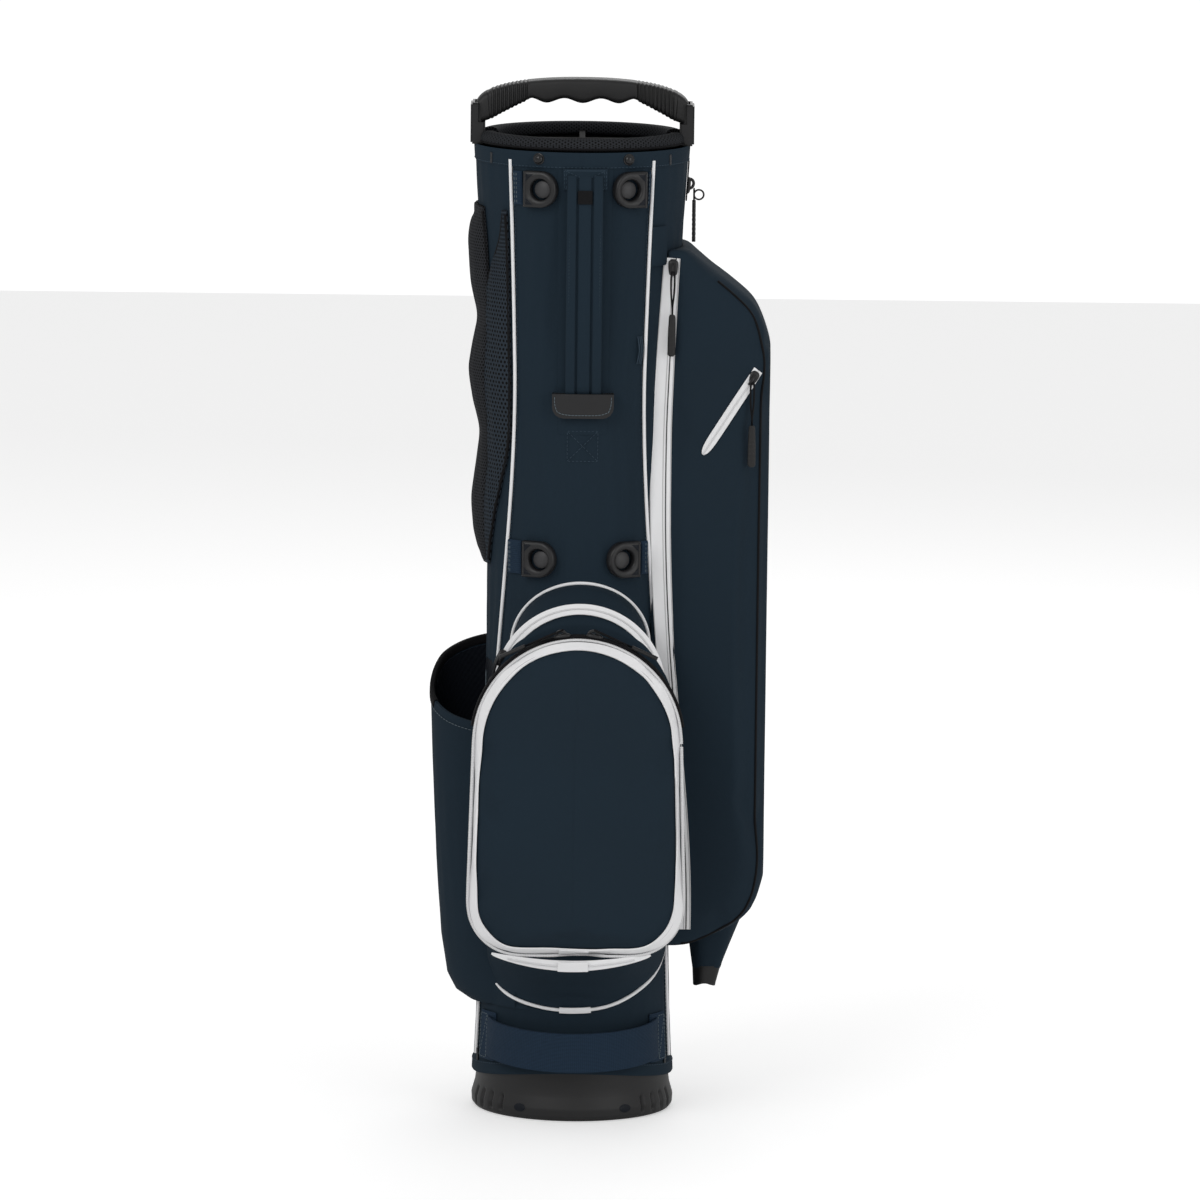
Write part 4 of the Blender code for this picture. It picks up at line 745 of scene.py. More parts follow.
# ---- mouth: cuff and handle -----------------------------------------------------------------------
def build_mouth(s):
    """The mesh roll: a rounded profile of (half width, height) carried round the rim between the ears."""
    low, high = limits("collar_cuff")
    outer, top = high[0], high[2]
    inner = outer - s.cuff_width
    mid = 0.5 * (outer + inner)
    turn = full_turn(20)
    half = mid + (outer - inner) / 2.0 * rounded(turn, 0.75)
    z = 0.5 * (low[2] + top) + (top - low[2]) / 2.0 * rounded(turn - np.pi / 2, 0.75)
    stop = math.degrees(math.atan2(outer, 0.0186)) - 0.4
    skin = Skin()
    for start in (-stop, 180.0 - stop):
        angles = np.radians(np.linspace(start, start + 2.0 * stop, 90))
        rings = join(half * np.sin(angles)[:, None], -half * DEPTH_RATIO * np.cos(angles)[:, None], z)
        skin.tube(rings)
    piece(skin, "collar_cuff_roll", "fine_mesh", "black_mesh", "collar_cuff")
    seam = Skin()
    for start in (-stop, 180.0 - stop):
        angles = np.linspace(start + 1.0, start + 2.0 * stop - 1.0, 90)
        turn = np.radians(angles)
        ring = join(outer * np.sin(turn), -outer * DEPTH_RATIO * np.cos(turn), low[2] + 0.0026)
        sweep(seam, ring, trunk_out(angles), round_section(0.0008, 8))
    piece(seam, "collar_cuff_seam", "black_binding", "black_mesh")


def build_handle(s):
    """The arch: for a turn t from 0 to 180 degrees the outer line is x = X sgn(cos t) |cos t|^0.9,
    z = shoulder + rise sin^0.75 t. The inner line lies below it, with three bumps between the fingers,
    and a superellipse joins the two across the grip's width. Ribs are a square wave on both faces."""
    low, high = limits("top_handle")
    foot, top, outer_x = low[2], high[2], high[0]
    half_y = high[1]
    shoulder = foot + s.handle_shoulder
    rise = top - shoulder
    turn = np.linspace(0.0, np.pi, 321)
    arch = join(outer_x * rounded(turn, 0.9), shoulder + rise * np.sin(turn) ** 0.75)
    legs = np.linspace(foot, shoulder, 14)[:-1]
    sides = join(outer_x, legs)
    over = np.vstack([sides, arch, sides[::-1] * [-1.0, 1.0]])
    over = spread(over, 420)
    inner_x = outer_x - s.handle_thickness
    slope_x, slope_z = s.grip_slope_x, foot + 0.0125
    under_z = top - s.grip_thickness
    right = curve([(slope_x, slope_z), (0.066, foot + 0.0190), (s.grip_half_x, under_z), (0.030, under_z)],
                  120)
    order = np.argsort(right[:, 0])
    along = lengths(over) / lengths(over)[-1]
    ends = np.minimum(along, 1.0 - along) / along[np.argmax(over[:, 0] < slope_x)]
    steps = [0.0, 0.55, 1.0]
    reach_x = np.interp(ends, steps, [inner_x, inner_x, slope_x])
    x = np.where(ends < 1.0, np.sign(over[:, 0]) * reach_x, over[:, 0])
    below = np.interp(np.abs(x), right[order, 0], right[order, 1])
    below = np.where(ends < 1.0, np.interp(ends, steps, [foot, foot + 0.0095, slope_z]), below)
    under = join(x, below)
    fingers = np.clip((0.050 - np.abs(x)) / 0.006, 0, 1)
    under[:, 1] -= s.finger_bump * np.cos(2.0 * np.pi * x / s.finger_pitch) * fingers
    outer = np.abs(over[:, 0])
    ribbed = np.clip((outer - s.grip_half_x) / 0.001, 0, 1) * np.clip((0.083 - outer) / 0.001, 0, 1)
    ribs = 0.0007 * ribbed * (np.tanh(3.0 * np.sin(2.0 * np.pi * x / s.rib_pitch)) - 0.4)
    section = full_turn(28)
    middle = 0.5 * (over + under)
    reach = 0.5 * (over - under)
    reach = reach * (1.0 + 0.35 * ribs / np.maximum(np.linalg.norm(reach, axis=-1), 1e-6))[:, None]
    flat = middle[:, None] + reach[:, None] * rounded(section - np.pi / 2, 0.40)[None, :, None]
    wide = (half_y + ribs[:, None]) * rounded(section, 0.40)
    rings = join(flat[..., 0], wide, flat[..., 1])
    skin = Skin()
    skin.tube(rings)
    piece(skin, "top_handle_grip", "black_rubber", "black_rubber", "top_handle")


# ---- spine ---------------------------------------------------------------------------------------
def spine_path(s, count=90):
    """The strap stands off the spine by bow * sin(pi * share)^0.7 between its sewn ends."""
    low, high = limits("spine_handle")
    heights = np.linspace(low[2], high[2], count)
    anchor_top = limits("spine_handle_anchor")[1][2]
    share = np.clip((heights - anchor_top) / (high[2] - anchor_top), 0.0, 1.0)
    front = on_trunk(angle_at(s.spine_x, heights), heights, FIT)[:, 1]
    y = front - s.spine_bow * np.sin(np.pi * np.minimum(share, 0.999)) ** 0.7
    return join(s.spine_x, y, heights)


def build_spine(s):
    """The padded strap: a backing with two stitched rolls and a flat channel between them."""
    path = spine_path(s)
    width = s.spine_width
    roll = s.spine_roll
    skin = Skin()
    sweep(skin, path, FRONT, flat_section(width, 0.0020, 0.25))
    for side in (-1.0, 1.0):
        sweep(skin, path + [side * (width - roll) / 2.0, -0.0012, 0.0], FRONT,
              flat_section(roll, 0.0036, 0.6))
    sweep(skin, path + [0.0, -0.0012, 0.0], FRONT, flat_section(width - 2.0 * roll - 0.0032, 0.0022, 0.5))
    piece(skin, "spine_handle_strap", "navy_fabric", "navy_webbing", "spine_handle")
    thread = Skin()
    for side in (-1.0, 1.0):
        for place, lift in ((width / 2.0 - 0.0022, 0.0043), (width / 2.0 - roll + 0.0012, 0.0040)):
            stitches(thread, path + [side * place, -lift, 0.0], FRONT, pitch=0.0030)
    piece(thread, "spine_handle_stitches", "grey_thread", "navy_webbing")
    tab = Skin()
    tab_low, tab_high = 0.7985, 0.8125
    inside = (path[:, 2] > tab_low) & (path[:, 2] < tab_high)
    sweep(tab, path[inside] + [0.0, -0.0030, 0.0], FRONT, flat_section(0.0125, 0.0014, 0.25))
    piece(tab, "spine_handle_tab", "black_binding", "black_plastic")
    patch = Skin()
    first, last = angle_at(s.spine_x - 0.0185, 0.82), angle_at(s.spine_x + 0.0185, 0.82)
    patch_low, patch_high = 0.8115, 0.8300
    trunk_patch(patch, first, last, patch_low, patch_high, 0.0030, lift=0.0008, rows=12, columns=24)
    piece(patch, "spine_handle_top_patch", "navy_fabric", "navy_webbing")
    thread = Skin()
    for inset in (0.9, 1.9):
        box = [(first + inset, 0.8128), (last - inset, 0.8128), (last - inset, 0.8285),
               (first + inset, 0.8285),
               (first + inset, 0.8128)]
        trunk_stitches(thread, box, lift=0.0036)
    trunk_stitches(thread, [(first + 2, 0.8135), (last - 2, 0.8280)], lift=0.0036)
    trunk_stitches(thread, [(first + 2, 0.8280), (last - 2, 0.8135)], lift=0.0036)
    centre, half = s.spine_x, 0.0130
    box_low, box_high = 0.577, 0.603
    a, b = angle_at(centre - half, 0.59), angle_at(centre + half, 0.59)
    trunk_stitches(thread, [(a, box_low), (b, box_low), (b, box_high), (a, box_high), (a, box_low),
                            (b, box_high)])
    trunk_stitches(thread, [(a, box_high), (b, box_low)])
    piece(thread, "spine_box_stitches", "navy_thread", "navy_webbing")
    backing = Skin()
    trunk_patch(backing, angle_at(centre - 0.022, 0.72), angle_at(centre + 0.022, 0.72), 0.600, 0.829, 0.0008,
                lift=0.0003, rows=40)
    piece(backing, "spine_backing", "navy_fabric", "navy_fabric")
    low, high = limits("spine_handle_anchor")
    thread = Skin()
    edge = 0.0022
    xs = np.concatenate([[low[0] + edge], np.linspace(low[0] + edge, high[0] - edge, 30), [high[0] - edge]])
    drop = 0.010 * (1.0 - np.abs(np.linspace(-1.0, 1.0, 30)) ** 4) ** 0.35
    zs = np.concatenate([[high[2] - edge], high[2] - edge - 0.006 - drop, [high[2] - edge]])
    stitches(thread, join(xs, low[1] - 0.0001, zs), FRONT, pitch=0.0028)
    piece(thread, "spine_anchor_stitches", "grey_thread", "black_leather")


def ring_frame(label):
    """The ring's middle and its directions: towards its tab, up, and out of the trunk."""
    joint = JOINTS[f"strap_ring_{label}_hinge"]
    points = node_points("strap_ring_" + label)
    pivot = np.array(joint["pos_m"], float)
    middle = 0.5 * (points.min(0) + points.max(0))
    angle = float(angle_at(middle[0], middle[2]))
    normal = trunk_out(angle)
    toward = unit(np.array([-normal[1], normal[0], 0.0])) * np.sign(pivot[0] - middle[0])
    along = points - pivot
    depth = along @ normal
    return pivot, toward, normal, depth.min(), depth.max()


def build_rings(s):
    """A D-shaped moulding: the outline is a circle of the ring's half height on the free side, and
    a straight bar beside the tab. Six steps carry it out to its rounded edge and back down to the hole."""
    for label in ("upper_left", "upper_right", "lower_left", "lower_right"):
        pivot, toward, normal, near, far = ring_frame(label)
        half_h = s.ring_height / 2.0
        half_w = s.ring_width / 2.0
        centre = pivot - toward * (half_w + 0.001)
        turn = full_turn(72)
        cosine, sine = np.cos(turn), np.sin(turn)
        square = 1.0 / np.maximum(np.abs(cosine), np.abs(sine))
        u = np.where(cosine > 0, np.clip(square * cosine, -1, 1) * half_w, (half_h - 0.001) * cosine - 0.001)
        v = np.where(cosine > 0, np.clip(square * sine, -1, 1) * half_h, half_h * sine)
        outline = join(u, v)
        hole = s.ring_hole * join(cosine, sine) - [0.001, 0.0]
        edge = 0.0012
        inset = outline * (1.0 - edge / half_h)
        lip = hole + unit(hole + [0.001, 0.0]) * edge
        rows = [(outline, near), (outline, far - edge), (inset, far), (lip, far), (hole, far - edge),
                (hole, near)]

        def place(flat, height):
            return centre + flat[:, :1] * toward + flat[:, 1:] * UP + height * normal

        rings = np.array([place(flat, height) for flat, height in rows])
        skin = Skin()
        skin.grid(rings, coords_round(np.concatenate([rings, rings[:1]])), wrap_rows=True)
        body = "strap_ring_" + label
        piece(skin, body + "_moulding", "black_plastic", "black_plastic", body, body=body)
        # Dark triangles at the tab's corners stand for the ring's notches: painted shade, not cut openings.
        dark = Skin()
        for side in (-1.0, 1.0):
            corner = np.array([half_w - 0.0022, side * (half_h - 0.0024)])
            flat = np.array([corner, corner - [0.0070, 0.0], corner - [0.0002, side * 0.0066]])
            rings = np.array([place(flat, height) for height in (far - 0.001, far + 0.0002)])
            dark.tube(rings)
        bar = np.array([[half_w - 0.0016, v] for v in np.linspace(-half_h + 0.002, half_h - 0.002, 12)])
        piece(dark, body + "_slots", "dark_lining_and_shade", "black_plastic", body=body)
        rail = Skin()
        sweep(rail, place(bar, far - 0.0004), normal, round_section(0.0011, 8))
        piece(rail, body + "_bar", "black_plastic", "black_plastic", body=body)
        disc = Skin()
        inner = centre - toward * 0.0025
        lathe(disc, [(0.0076, near + 0.0004), (0.0076, near + 0.0032), (0.0069, near + 0.0040)], inner,
              normal, UP, 36)
        piece(disc, body + "_disc", "grey_plastic", "black_plastic", body=body)
        tab_low, tab_high = limits("ring_tab_" + label)
        side = np.sign(pivot[0])
        inner_x = pivot[0] - side * 0.0002
        tab = Skin()
        z = pivot[2]
        start, end = sorted((float(angle_at(inner_x, z)), side * (float(seam_angle(z)) - 1.8)))
        trunk_patch(tab, start, end, tab_low[2], tab_high[2], 0.0016, lift=0.0008, rows=20, columns=10)
        piece(tab, f"ring_tab_{label}_webbing", "navy_webbing", "navy_webbing", "ring_tab_" + label)
        thread = Skin()
        for inset_angle in (1.2, 2.6):
            a = side * (float(seam_angle(z)) - 1.8 - inset_angle)
            trunk_stitches(thread, [(a, tab_low[2] + 0.001), (a, tab_high[2] - 0.001)], lift=0.0023)
        piece(thread, f"ring_tab_{label}_stitches", "grey_thread", "navy_webbing")


def build_snaps(s):
    """A domed press stud: radius against height from its flange to the top of its dome."""
    turn = np.linspace(0.0, 0.5 * np.pi, 9)[:-1]
    for label in ("left", "right"):
        low, high = limits("snap_" + label)
        middle = 0.5 * (low + high)
        angle = float(angle_at(middle[0], middle[2]))
        profile = [(0.0050, 0.0), (0.0050, 0.0008), (0.0044, 0.0012)]
        profile += [(0.0042 * math.cos(t), 0.0012 + 0.0030 * math.sin(t)) for t in turn]
        skin = Skin()
        lathe(skin, profile, on_trunk(angle, middle[2], 0.0010), trunk_out(angle), UP, 32)
        piece(skin, f"snap_{label}_dome", "gloss_black", "black_plastic", "snap_" + label)


# ---- zips, sliders and pulls ------------------------------------------------------------------------
def settle(tree, points, direction, lift):
    """Moves points along a direction until they meet a surface, then back by lift. Keeps those that miss."""
    direction = Vector(direction)
    found = [tree.ray_cast(Vector(p) - 0.08 * direction, direction, 0.2) for p in points]
    hits = np.array([hit[0] if hit[0] is not None else p for hit, p in zip(found, points)], float)
    normals = np.array([hit[1] if hit[0] is not None else -direction for hit in found], float)
    normals[np.einsum("ij,j->i", normals, np.array(direction)) > 0] *= -1.0
    return hits + unit(normals) * lift, unit(normals)


def touch_tree(mesh):
    return BVHTree.FromPolygons([v.co for v in mesh.vertices], [p.vertices[:] for p in mesh.polygons])


def calm(values, times=6, loop=False):
    """Averages each row with its neighbours a few times."""
    for _ in range(times):
        middle = 0.25 * np.roll(values, 1, 0) + 0.5 * values + 0.25 * np.roll(values, -1, 0)
        if not loop:
            middle[0], middle[-1] = values[0], values[-1]
        values = middle
    return values


def tape_section(width, thickness):
    """One or many tape sections: a superellipse of each width."""
    width = np.atleast_1d(width)
    flat = flat_section(1.0, thickness, 0.3)
    return join(width[:, None] * flat[None, :, 0], np.broadcast_to(flat[None, :, 1], (len(width), len(flat))))


def coil(skin, path, out, radius=0.0011, pitch=0.0014):
    """A zip's coil: a round bead whose radius swells once for each tooth."""
    path = spread(path, max(24, int(lengths(path)[-1] / pitch * 5)))
    out = np.stack([np.interp(np.linspace(0, 1, len(path)), np.linspace(0, 1, len(out)), out[:, k])
                    for k in range(3)], -1)
    swell = 1.0 + 0.22 * np.sin(2.0 * np.pi * lengths(path) / pitch)
    ring = round_section(radius, 8)
    sweep(skin, path, out, swell[:, None, None] * ring[None])


def slider_frame(name):
    """Where a slider is, which way it runs and which way its face looks, from its joints and its body."""
    slide = [j for j in FRAME["joints"] if j["child"] == name][0]
    pull = [j for j in FRAME["joints"] if j["parent"] == name][0]
    pivot = np.array(pull["pos_m"], float)
    points = node_points(name)
    middle = 0.5 * (points.min(0) + points.max(0))
    hang = node_points(pull["child"]).mean(0) - pivot
    axis = unit(np.array(pull["axis"], float))
    return slide, pivot, middle, unit(hang), axis, pull["child"]


def add_slider(skin, centre, along, normal, s):
    """A moulded slider: rounded sections along its length, wide at the nose, with a bridge over it."""
    share = np.linspace(-0.5, 0.5, 13)
    wide = s.slider_width * (0.80 + 0.20
                             * np.cos(2.0 * (share + 0.18)) ** 2) * (1.0 - 0.55 * np.abs(2 * share) ** 7)
    thick = s.slider_height * (1.0 - 0.45 * np.abs(2 * share) ** 5)
    path = centre + along * (share * s.slider_length)[:, None]
    turn = full_turn(16)
    section = join(wide[:, None] / 2 * rounded(turn, 0.6),
                   thick[:, None] / 2 * (1 + rounded(turn - np.pi / 2, 0.6)))
    sweep(skin, path, normal, section)
    bow = np.linspace(0.0, np.pi, 15)
    bridge = centre + along * (0.0012 - 0.0042 * np.cos(bow))[:, None]
    bridge = bridge + normal * (s.slider_height * 0.6 + 0.0038 * np.sin(bow))[:, None]
    sweep(skin, bridge, np.cross(along, normal), flat_section(0.0026, 0.0022, 0.6, 10) - [0.0, 0.0011])


def add_pull(cord_skin, grip_skin, pivot, hang, across, length, s, grip):
    """A cord loop that hangs from the slider's bridge into a tapered rubber grip with ridges."""
    normal = unit(np.cross(across, hang))
    start = length - grip
    turn = np.linspace(0.0, np.pi, 9)
    gap = 0.0016
    near = np.linspace(0.0, start + 0.004, 10)
    for side in (-1.0, 1.0):
        bend = side * (gap * np.sin(np.pi * np.minimum(near / (start + 0.004) + 0.28, 1.0)) ** 0.8)
        path = pivot + hang * near[:, None] + across * bend[:, None]
        sweep(cord_skin, path, normal, round_section(s.cord_radius, 8))
    loop = pivot - hang * (0.0010 * np.sin(turn))[:, None] + across * (gap * 0.75 * np.cos(turn))[:, None]
    sweep(cord_skin, loop, normal, round_section(s.cord_radius, 8))
    share = np.linspace(0.0, 1.0, 49)
    wide = s.grip_width * (0.78 + 0.22 * np.sin(np.pi * np.minimum(share * 1.4, 1.0) * 0.5)) * (
        1.0 - 0.5 * np.clip((share - 0.94) / 0.06, 0,
                            1) ** 2 - 0.35 * np.clip((0.05 - share) / 0.05, 0, 1) ** 2
    )
    ridge = 1.0 + 0.07 * np.sin(2.0 * np.pi * share * 9.0) * ((share > 0.25) & (share < 0.9))
    turn = full_turn(16)
    section = join(wide[:, None] / 2 * rounded(turn, 0.7),
                        0.5 * s.grip_height * ridge[:, None] * rounded(turn - np.pi / 2, 0.7))
    sweep(grip_skin, pivot + hang * (start + share * grip)[:, None], normal, section)


def build_sliders(s):
    """Every slider and pull that has a joint, each on its own body. Two of them run round the arch."""
    for slider in ("side_zip_slider", "diagonal_zip_slider", "upper_zip_slider", "ball_slider_left",
                   "ball_slider_right"):
        slide, pivot, middle, hang, across, pull = slider_frame(slider)
        if slide["type"] == "slide":
            along = unit(np.array(slide["axis"], float))
            normal = unit(np.cross(across, hang))
            normal = normal if (pivot - middle) @ normal > 0 else -normal
            base = pivot - normal * s.slider_drop - hang * 0.0040
            grip_length = 0.036
        else:
            normal = unit((pivot - np.array(slide["pos_m"], float)) * [1.0, 0.0, 1.0])
            along = np.cross(normal, [0.0, 1.0, 0.0])
            base = pivot - normal * s.slider_drop
            grip_length = 0.024
        skin, cords, grip = Skin(), Skin(), Skin()
        add_slider(skin, base, along, normal, s)
        piece(skin, slider + "_shell", "black_plastic", "black_plastic", slider, body=slider)
        length = ((node_points(pull) - pivot) @ hang).max()
        add_pull(cords, grip, pivot, hang, across, length, s, grip_length)
        piece(cords, pull + "_cord", "black_binding", "black_rubber", body=pull)
        piece(grip, pull + "_grip", "black_rubber", "black_rubber", pull, body=pull)


# ---- ball pocket --------------------------------------------------------------------------------------
def arched(s, inset=0.0, count=240):
    """The ball pocket's outline: half a circle on sides that spread a little towards rounded corners."""
    size = s.arch_radius - inset
    wide = size + s.arch_spread
    bend = s.arch_corner - inset
    turn = np.linspace(0.0, np.pi, 91)
    top = join(s.arch_x + size * np.cos(turn), s.arch_z + size * np.sin(turn))
    low = s.arch_low + inset
    left = np.linspace(np.pi, 1.5 * np.pi, 31)
    right = np.linspace(1.5 * np.pi, 2.0 * np.pi, 31)
    foot_left = join(s.arch_x - wide + bend + bend * np.cos(left), low + bend + bend * np.sin(left))
    foot_right = join(s.arch_x + wide - bend + bend * np.cos(right), low + bend + bend * np.sin(right))
    loop = np.vstack([top, foot_left, foot_right, top[:1]])
    return calm(spread(loop, count + 1)[:-1], 10, loop=True)


def build_ball_pocket(s):
    """The pocket's body is blown up as cloth; its back and its front edge keep most of their place."""
    low, high = limits("ball_pocket")
    outline = arched(s)
    centre = outline.mean(0)
    rows = []
    for y, inset in ((high[1], 0.004), (high[1] - 0.003, 0.0012), (high[1] - 0.012, 0.0006),
                     (low[1] + 0.010, 0.0006),
                     (low[1] + 0.004, 0.0014), (low[1] + 0.0016, 0.0044)):
        flat = arched(s, inset)
        rows.append(join(flat[:, 0], y, flat[:, 1]))
    for share in (0.86, 0.65, 0.40, 0.18):
        flat = centre + (arched(s, 0.0044) - centre) * share
        rows.append(join(flat[:, 0], low[1] + 0.0016 * share, flat[:, 1]))
    rings = np.array(rows)
    skin = Skin()
    skin.tube(rings)

    def hold(points):
        return np.clip((high[1] - 0.004 - points[:, 1]) / 0.01, 0.0, 1.0)

    obj, moved = puff(skin, "ball_pocket_body", s, s.ball_puff, hold)
    moved[:, 1] = np.minimum(moved[:, 1], high[1] + 0.001)
    mesh = close_puff(obj, moved, low[1])
    body = link("ball_pocket_body", mesh, finish("navy_fabric"), BAG, "navy_fabric", "ball_pocket")
    tree = touch_tree(mesh)
    build_ball_zip(s, tree, low)


def on_front(s, tree, inset, lift, count=300):
    """The outline moved in by inset, laid on the pocket's front and lifted off it."""
    flat = arched(s, inset, count)
    points = join(flat[:, 0], -0.15, flat[:, 1])
    place, out = settle(tree, points, (0.0, 1.0, 0.0), lift)
    return calm(place, 8, True), unit(calm(out, 14, True))


def build_ball_zip(s, tree, low):
    """The white frame widens from the arch's top to the sides. A coil and two grey lines of painted fold
    shade run along it.
    """
    flat = arched(s, 0.0, 300)
    rise = np.clip((flat[:, 1] - s.arch_z) / s.arch_radius, 0.0, 1.0) ** 1.5
    drop = np.clip((s.arch_low + 0.05 - flat[:, 1]) / 0.05, 0.0, 1.0)
    width = s.frame_side + rise * (s.frame_top - s.frame_side) + drop * (s.frame_low - s.frame_side)
    place, out = on_front(s, tree, 0.0070, 0.0002)
    skin = Skin()
    sweep(skin, place, out, tape_section(width, 0.0016), loop=True)
    piece(skin, "ball_zip_frame", "white_tape", "white_tape", "ball_zip_tape")
    # Two grey lines on the white frame: the painted shade of its folds.
    skin = Skin()
    for inset, radius in ((0.0046, 0.0005), (0.0086, 0.0005)):
        line, lean = on_front(s, tree, inset, 0.0015)
        sweep(skin, line, lean, round_section(radius, 8), loop=True)
    piece(skin, "ball_zip_fold_shade", "fold_shade_grey", "white_tape")
    edge, out = on_front(s, tree, 0.0020, 0.0)
    outward = unit(join(edge[:, 0] - s.arch_x, 0.0, edge[:, 2] - np.minimum(edge[:, 2], s.arch_z)))
    below = edge[:, 2] < s.arch_z - 0.10
    outward[below] = unit(join(edge[below, 0] * 0.3, 0.0, -1.0))
    outward = unit(calm(outward, 20, True))
    skin = Skin()
    line, lean = on_front(s, tree, 0.0016, 0.0008)
    coil(skin, line, lean, 0.0012)
    piece(skin, "ball_zip_coil", "white_coil", "white_tape")
    skin = Skin()
    top = edge[:, 2] > s.arch_z - 0.02
    first = int(np.argmax(edge[:, 0] * top))
    order = np.roll(np.arange(len(edge)), -first)
    keep = [k for k in order if edge[k, 2] > s.arch_z + 0.012]
    arch = edge[keep] + outward[keep] * 0.0006 + [0.0, 0.0062, 0.0]
    sweep(skin, arch, outward[keep], flat_section(0.0100, 0.0034, 0.6))
    piece(skin, "ball_zip_binding", "black_binding", "black_rubber")
    x = np.linspace(-0.070, 0.066, 80)
    share = np.cos(0.5 * np.pi * np.clip((x + 0.002) / 0.068, -1.0, 1.0))
    smile = join(x, low[1] + 0.0055 + 0.004 * (1.0 - share), s.arch_low + 0.0030 - s.gusset_drop * share**0.8)
    lean = unit(np.array([0.0, -1.0, -0.35]))
    skin = Skin()
    sweep(skin, smile, lean, tape_section(0.0015 + s.gusset_tape * share**0.6, 0.0013))
    piece(skin, "ball_gusset_tape", "white_tape", "white_tape")
    skin = Skin()
    coil(skin, (smile + lean * 0.0012)[8:-8], np.broadcast_to(lean, smile.shape)[8:-8], 0.0011)
    piece(skin, "ball_gusset_coil", "white_coil", "white_tape")
    skin = Skin()
    middle = np.abs(x) < 0.0140
    sweep(skin, smile[middle] + lean * 0.0022, lean, flat_section(s.gusset_tape + 0.001, 0.0010, 0.3))
    line, lean = on_front(s, tree, 0.0070, 0.0017)
    foot = np.where((line[:, 2] < s.arch_low + 0.012) & (np.abs(line[:, 0]) < 0.0140))[0]
    sweep(skin, line[foot], lean[foot], flat_section(0.0118, 0.0010, 0.3))
    piece(skin, "ball_zip_patch", "white_tape", "white_tape")


# ---- valuables pocket -----------------------------------------------------------------------------
def valuables_ring(s, radius, centre_z, share, y):
    """An arch over a lower line, which goes from the piping (share 0) to the pocket's front (share 1)."""
    x0 = s.spine_x
    turn = np.linspace(0.0, np.pi, 80)
    top = join(x0 + radius * np.cos(turn), centre_z + radius * np.sin(turn))
    sewn = np.array([(-0.062, 0.32), (-0.070, 0.21), (-0.0745, 0.129), (-0.050, 0.105), (0.0, 0.098),
                     (0.040, 0.104), (0.063, 0.117), (0.080, 0.140), (0.076, 0.21), (0.068, 0.32)])
    front = np.array([(-0.0835, 0.30), (-0.0840, 0.225), (-0.073, 0.176), (-0.045, 0.155), (0.0, 0.150),
                      (0.035, 0.151), (0.060, 0.160), (0.080, 0.185), (0.0875, 0.225), (0.089, 0.30)])
    low = sewn + share * (front - sewn)
    low = curve(np.vstack([top[-1], low, top[0]]), 120)[1:-1]
    flat = calm(np.vstack([top, low]), 4, loop=True)
    return join(flat[:, 0], y, flat[:, 1])


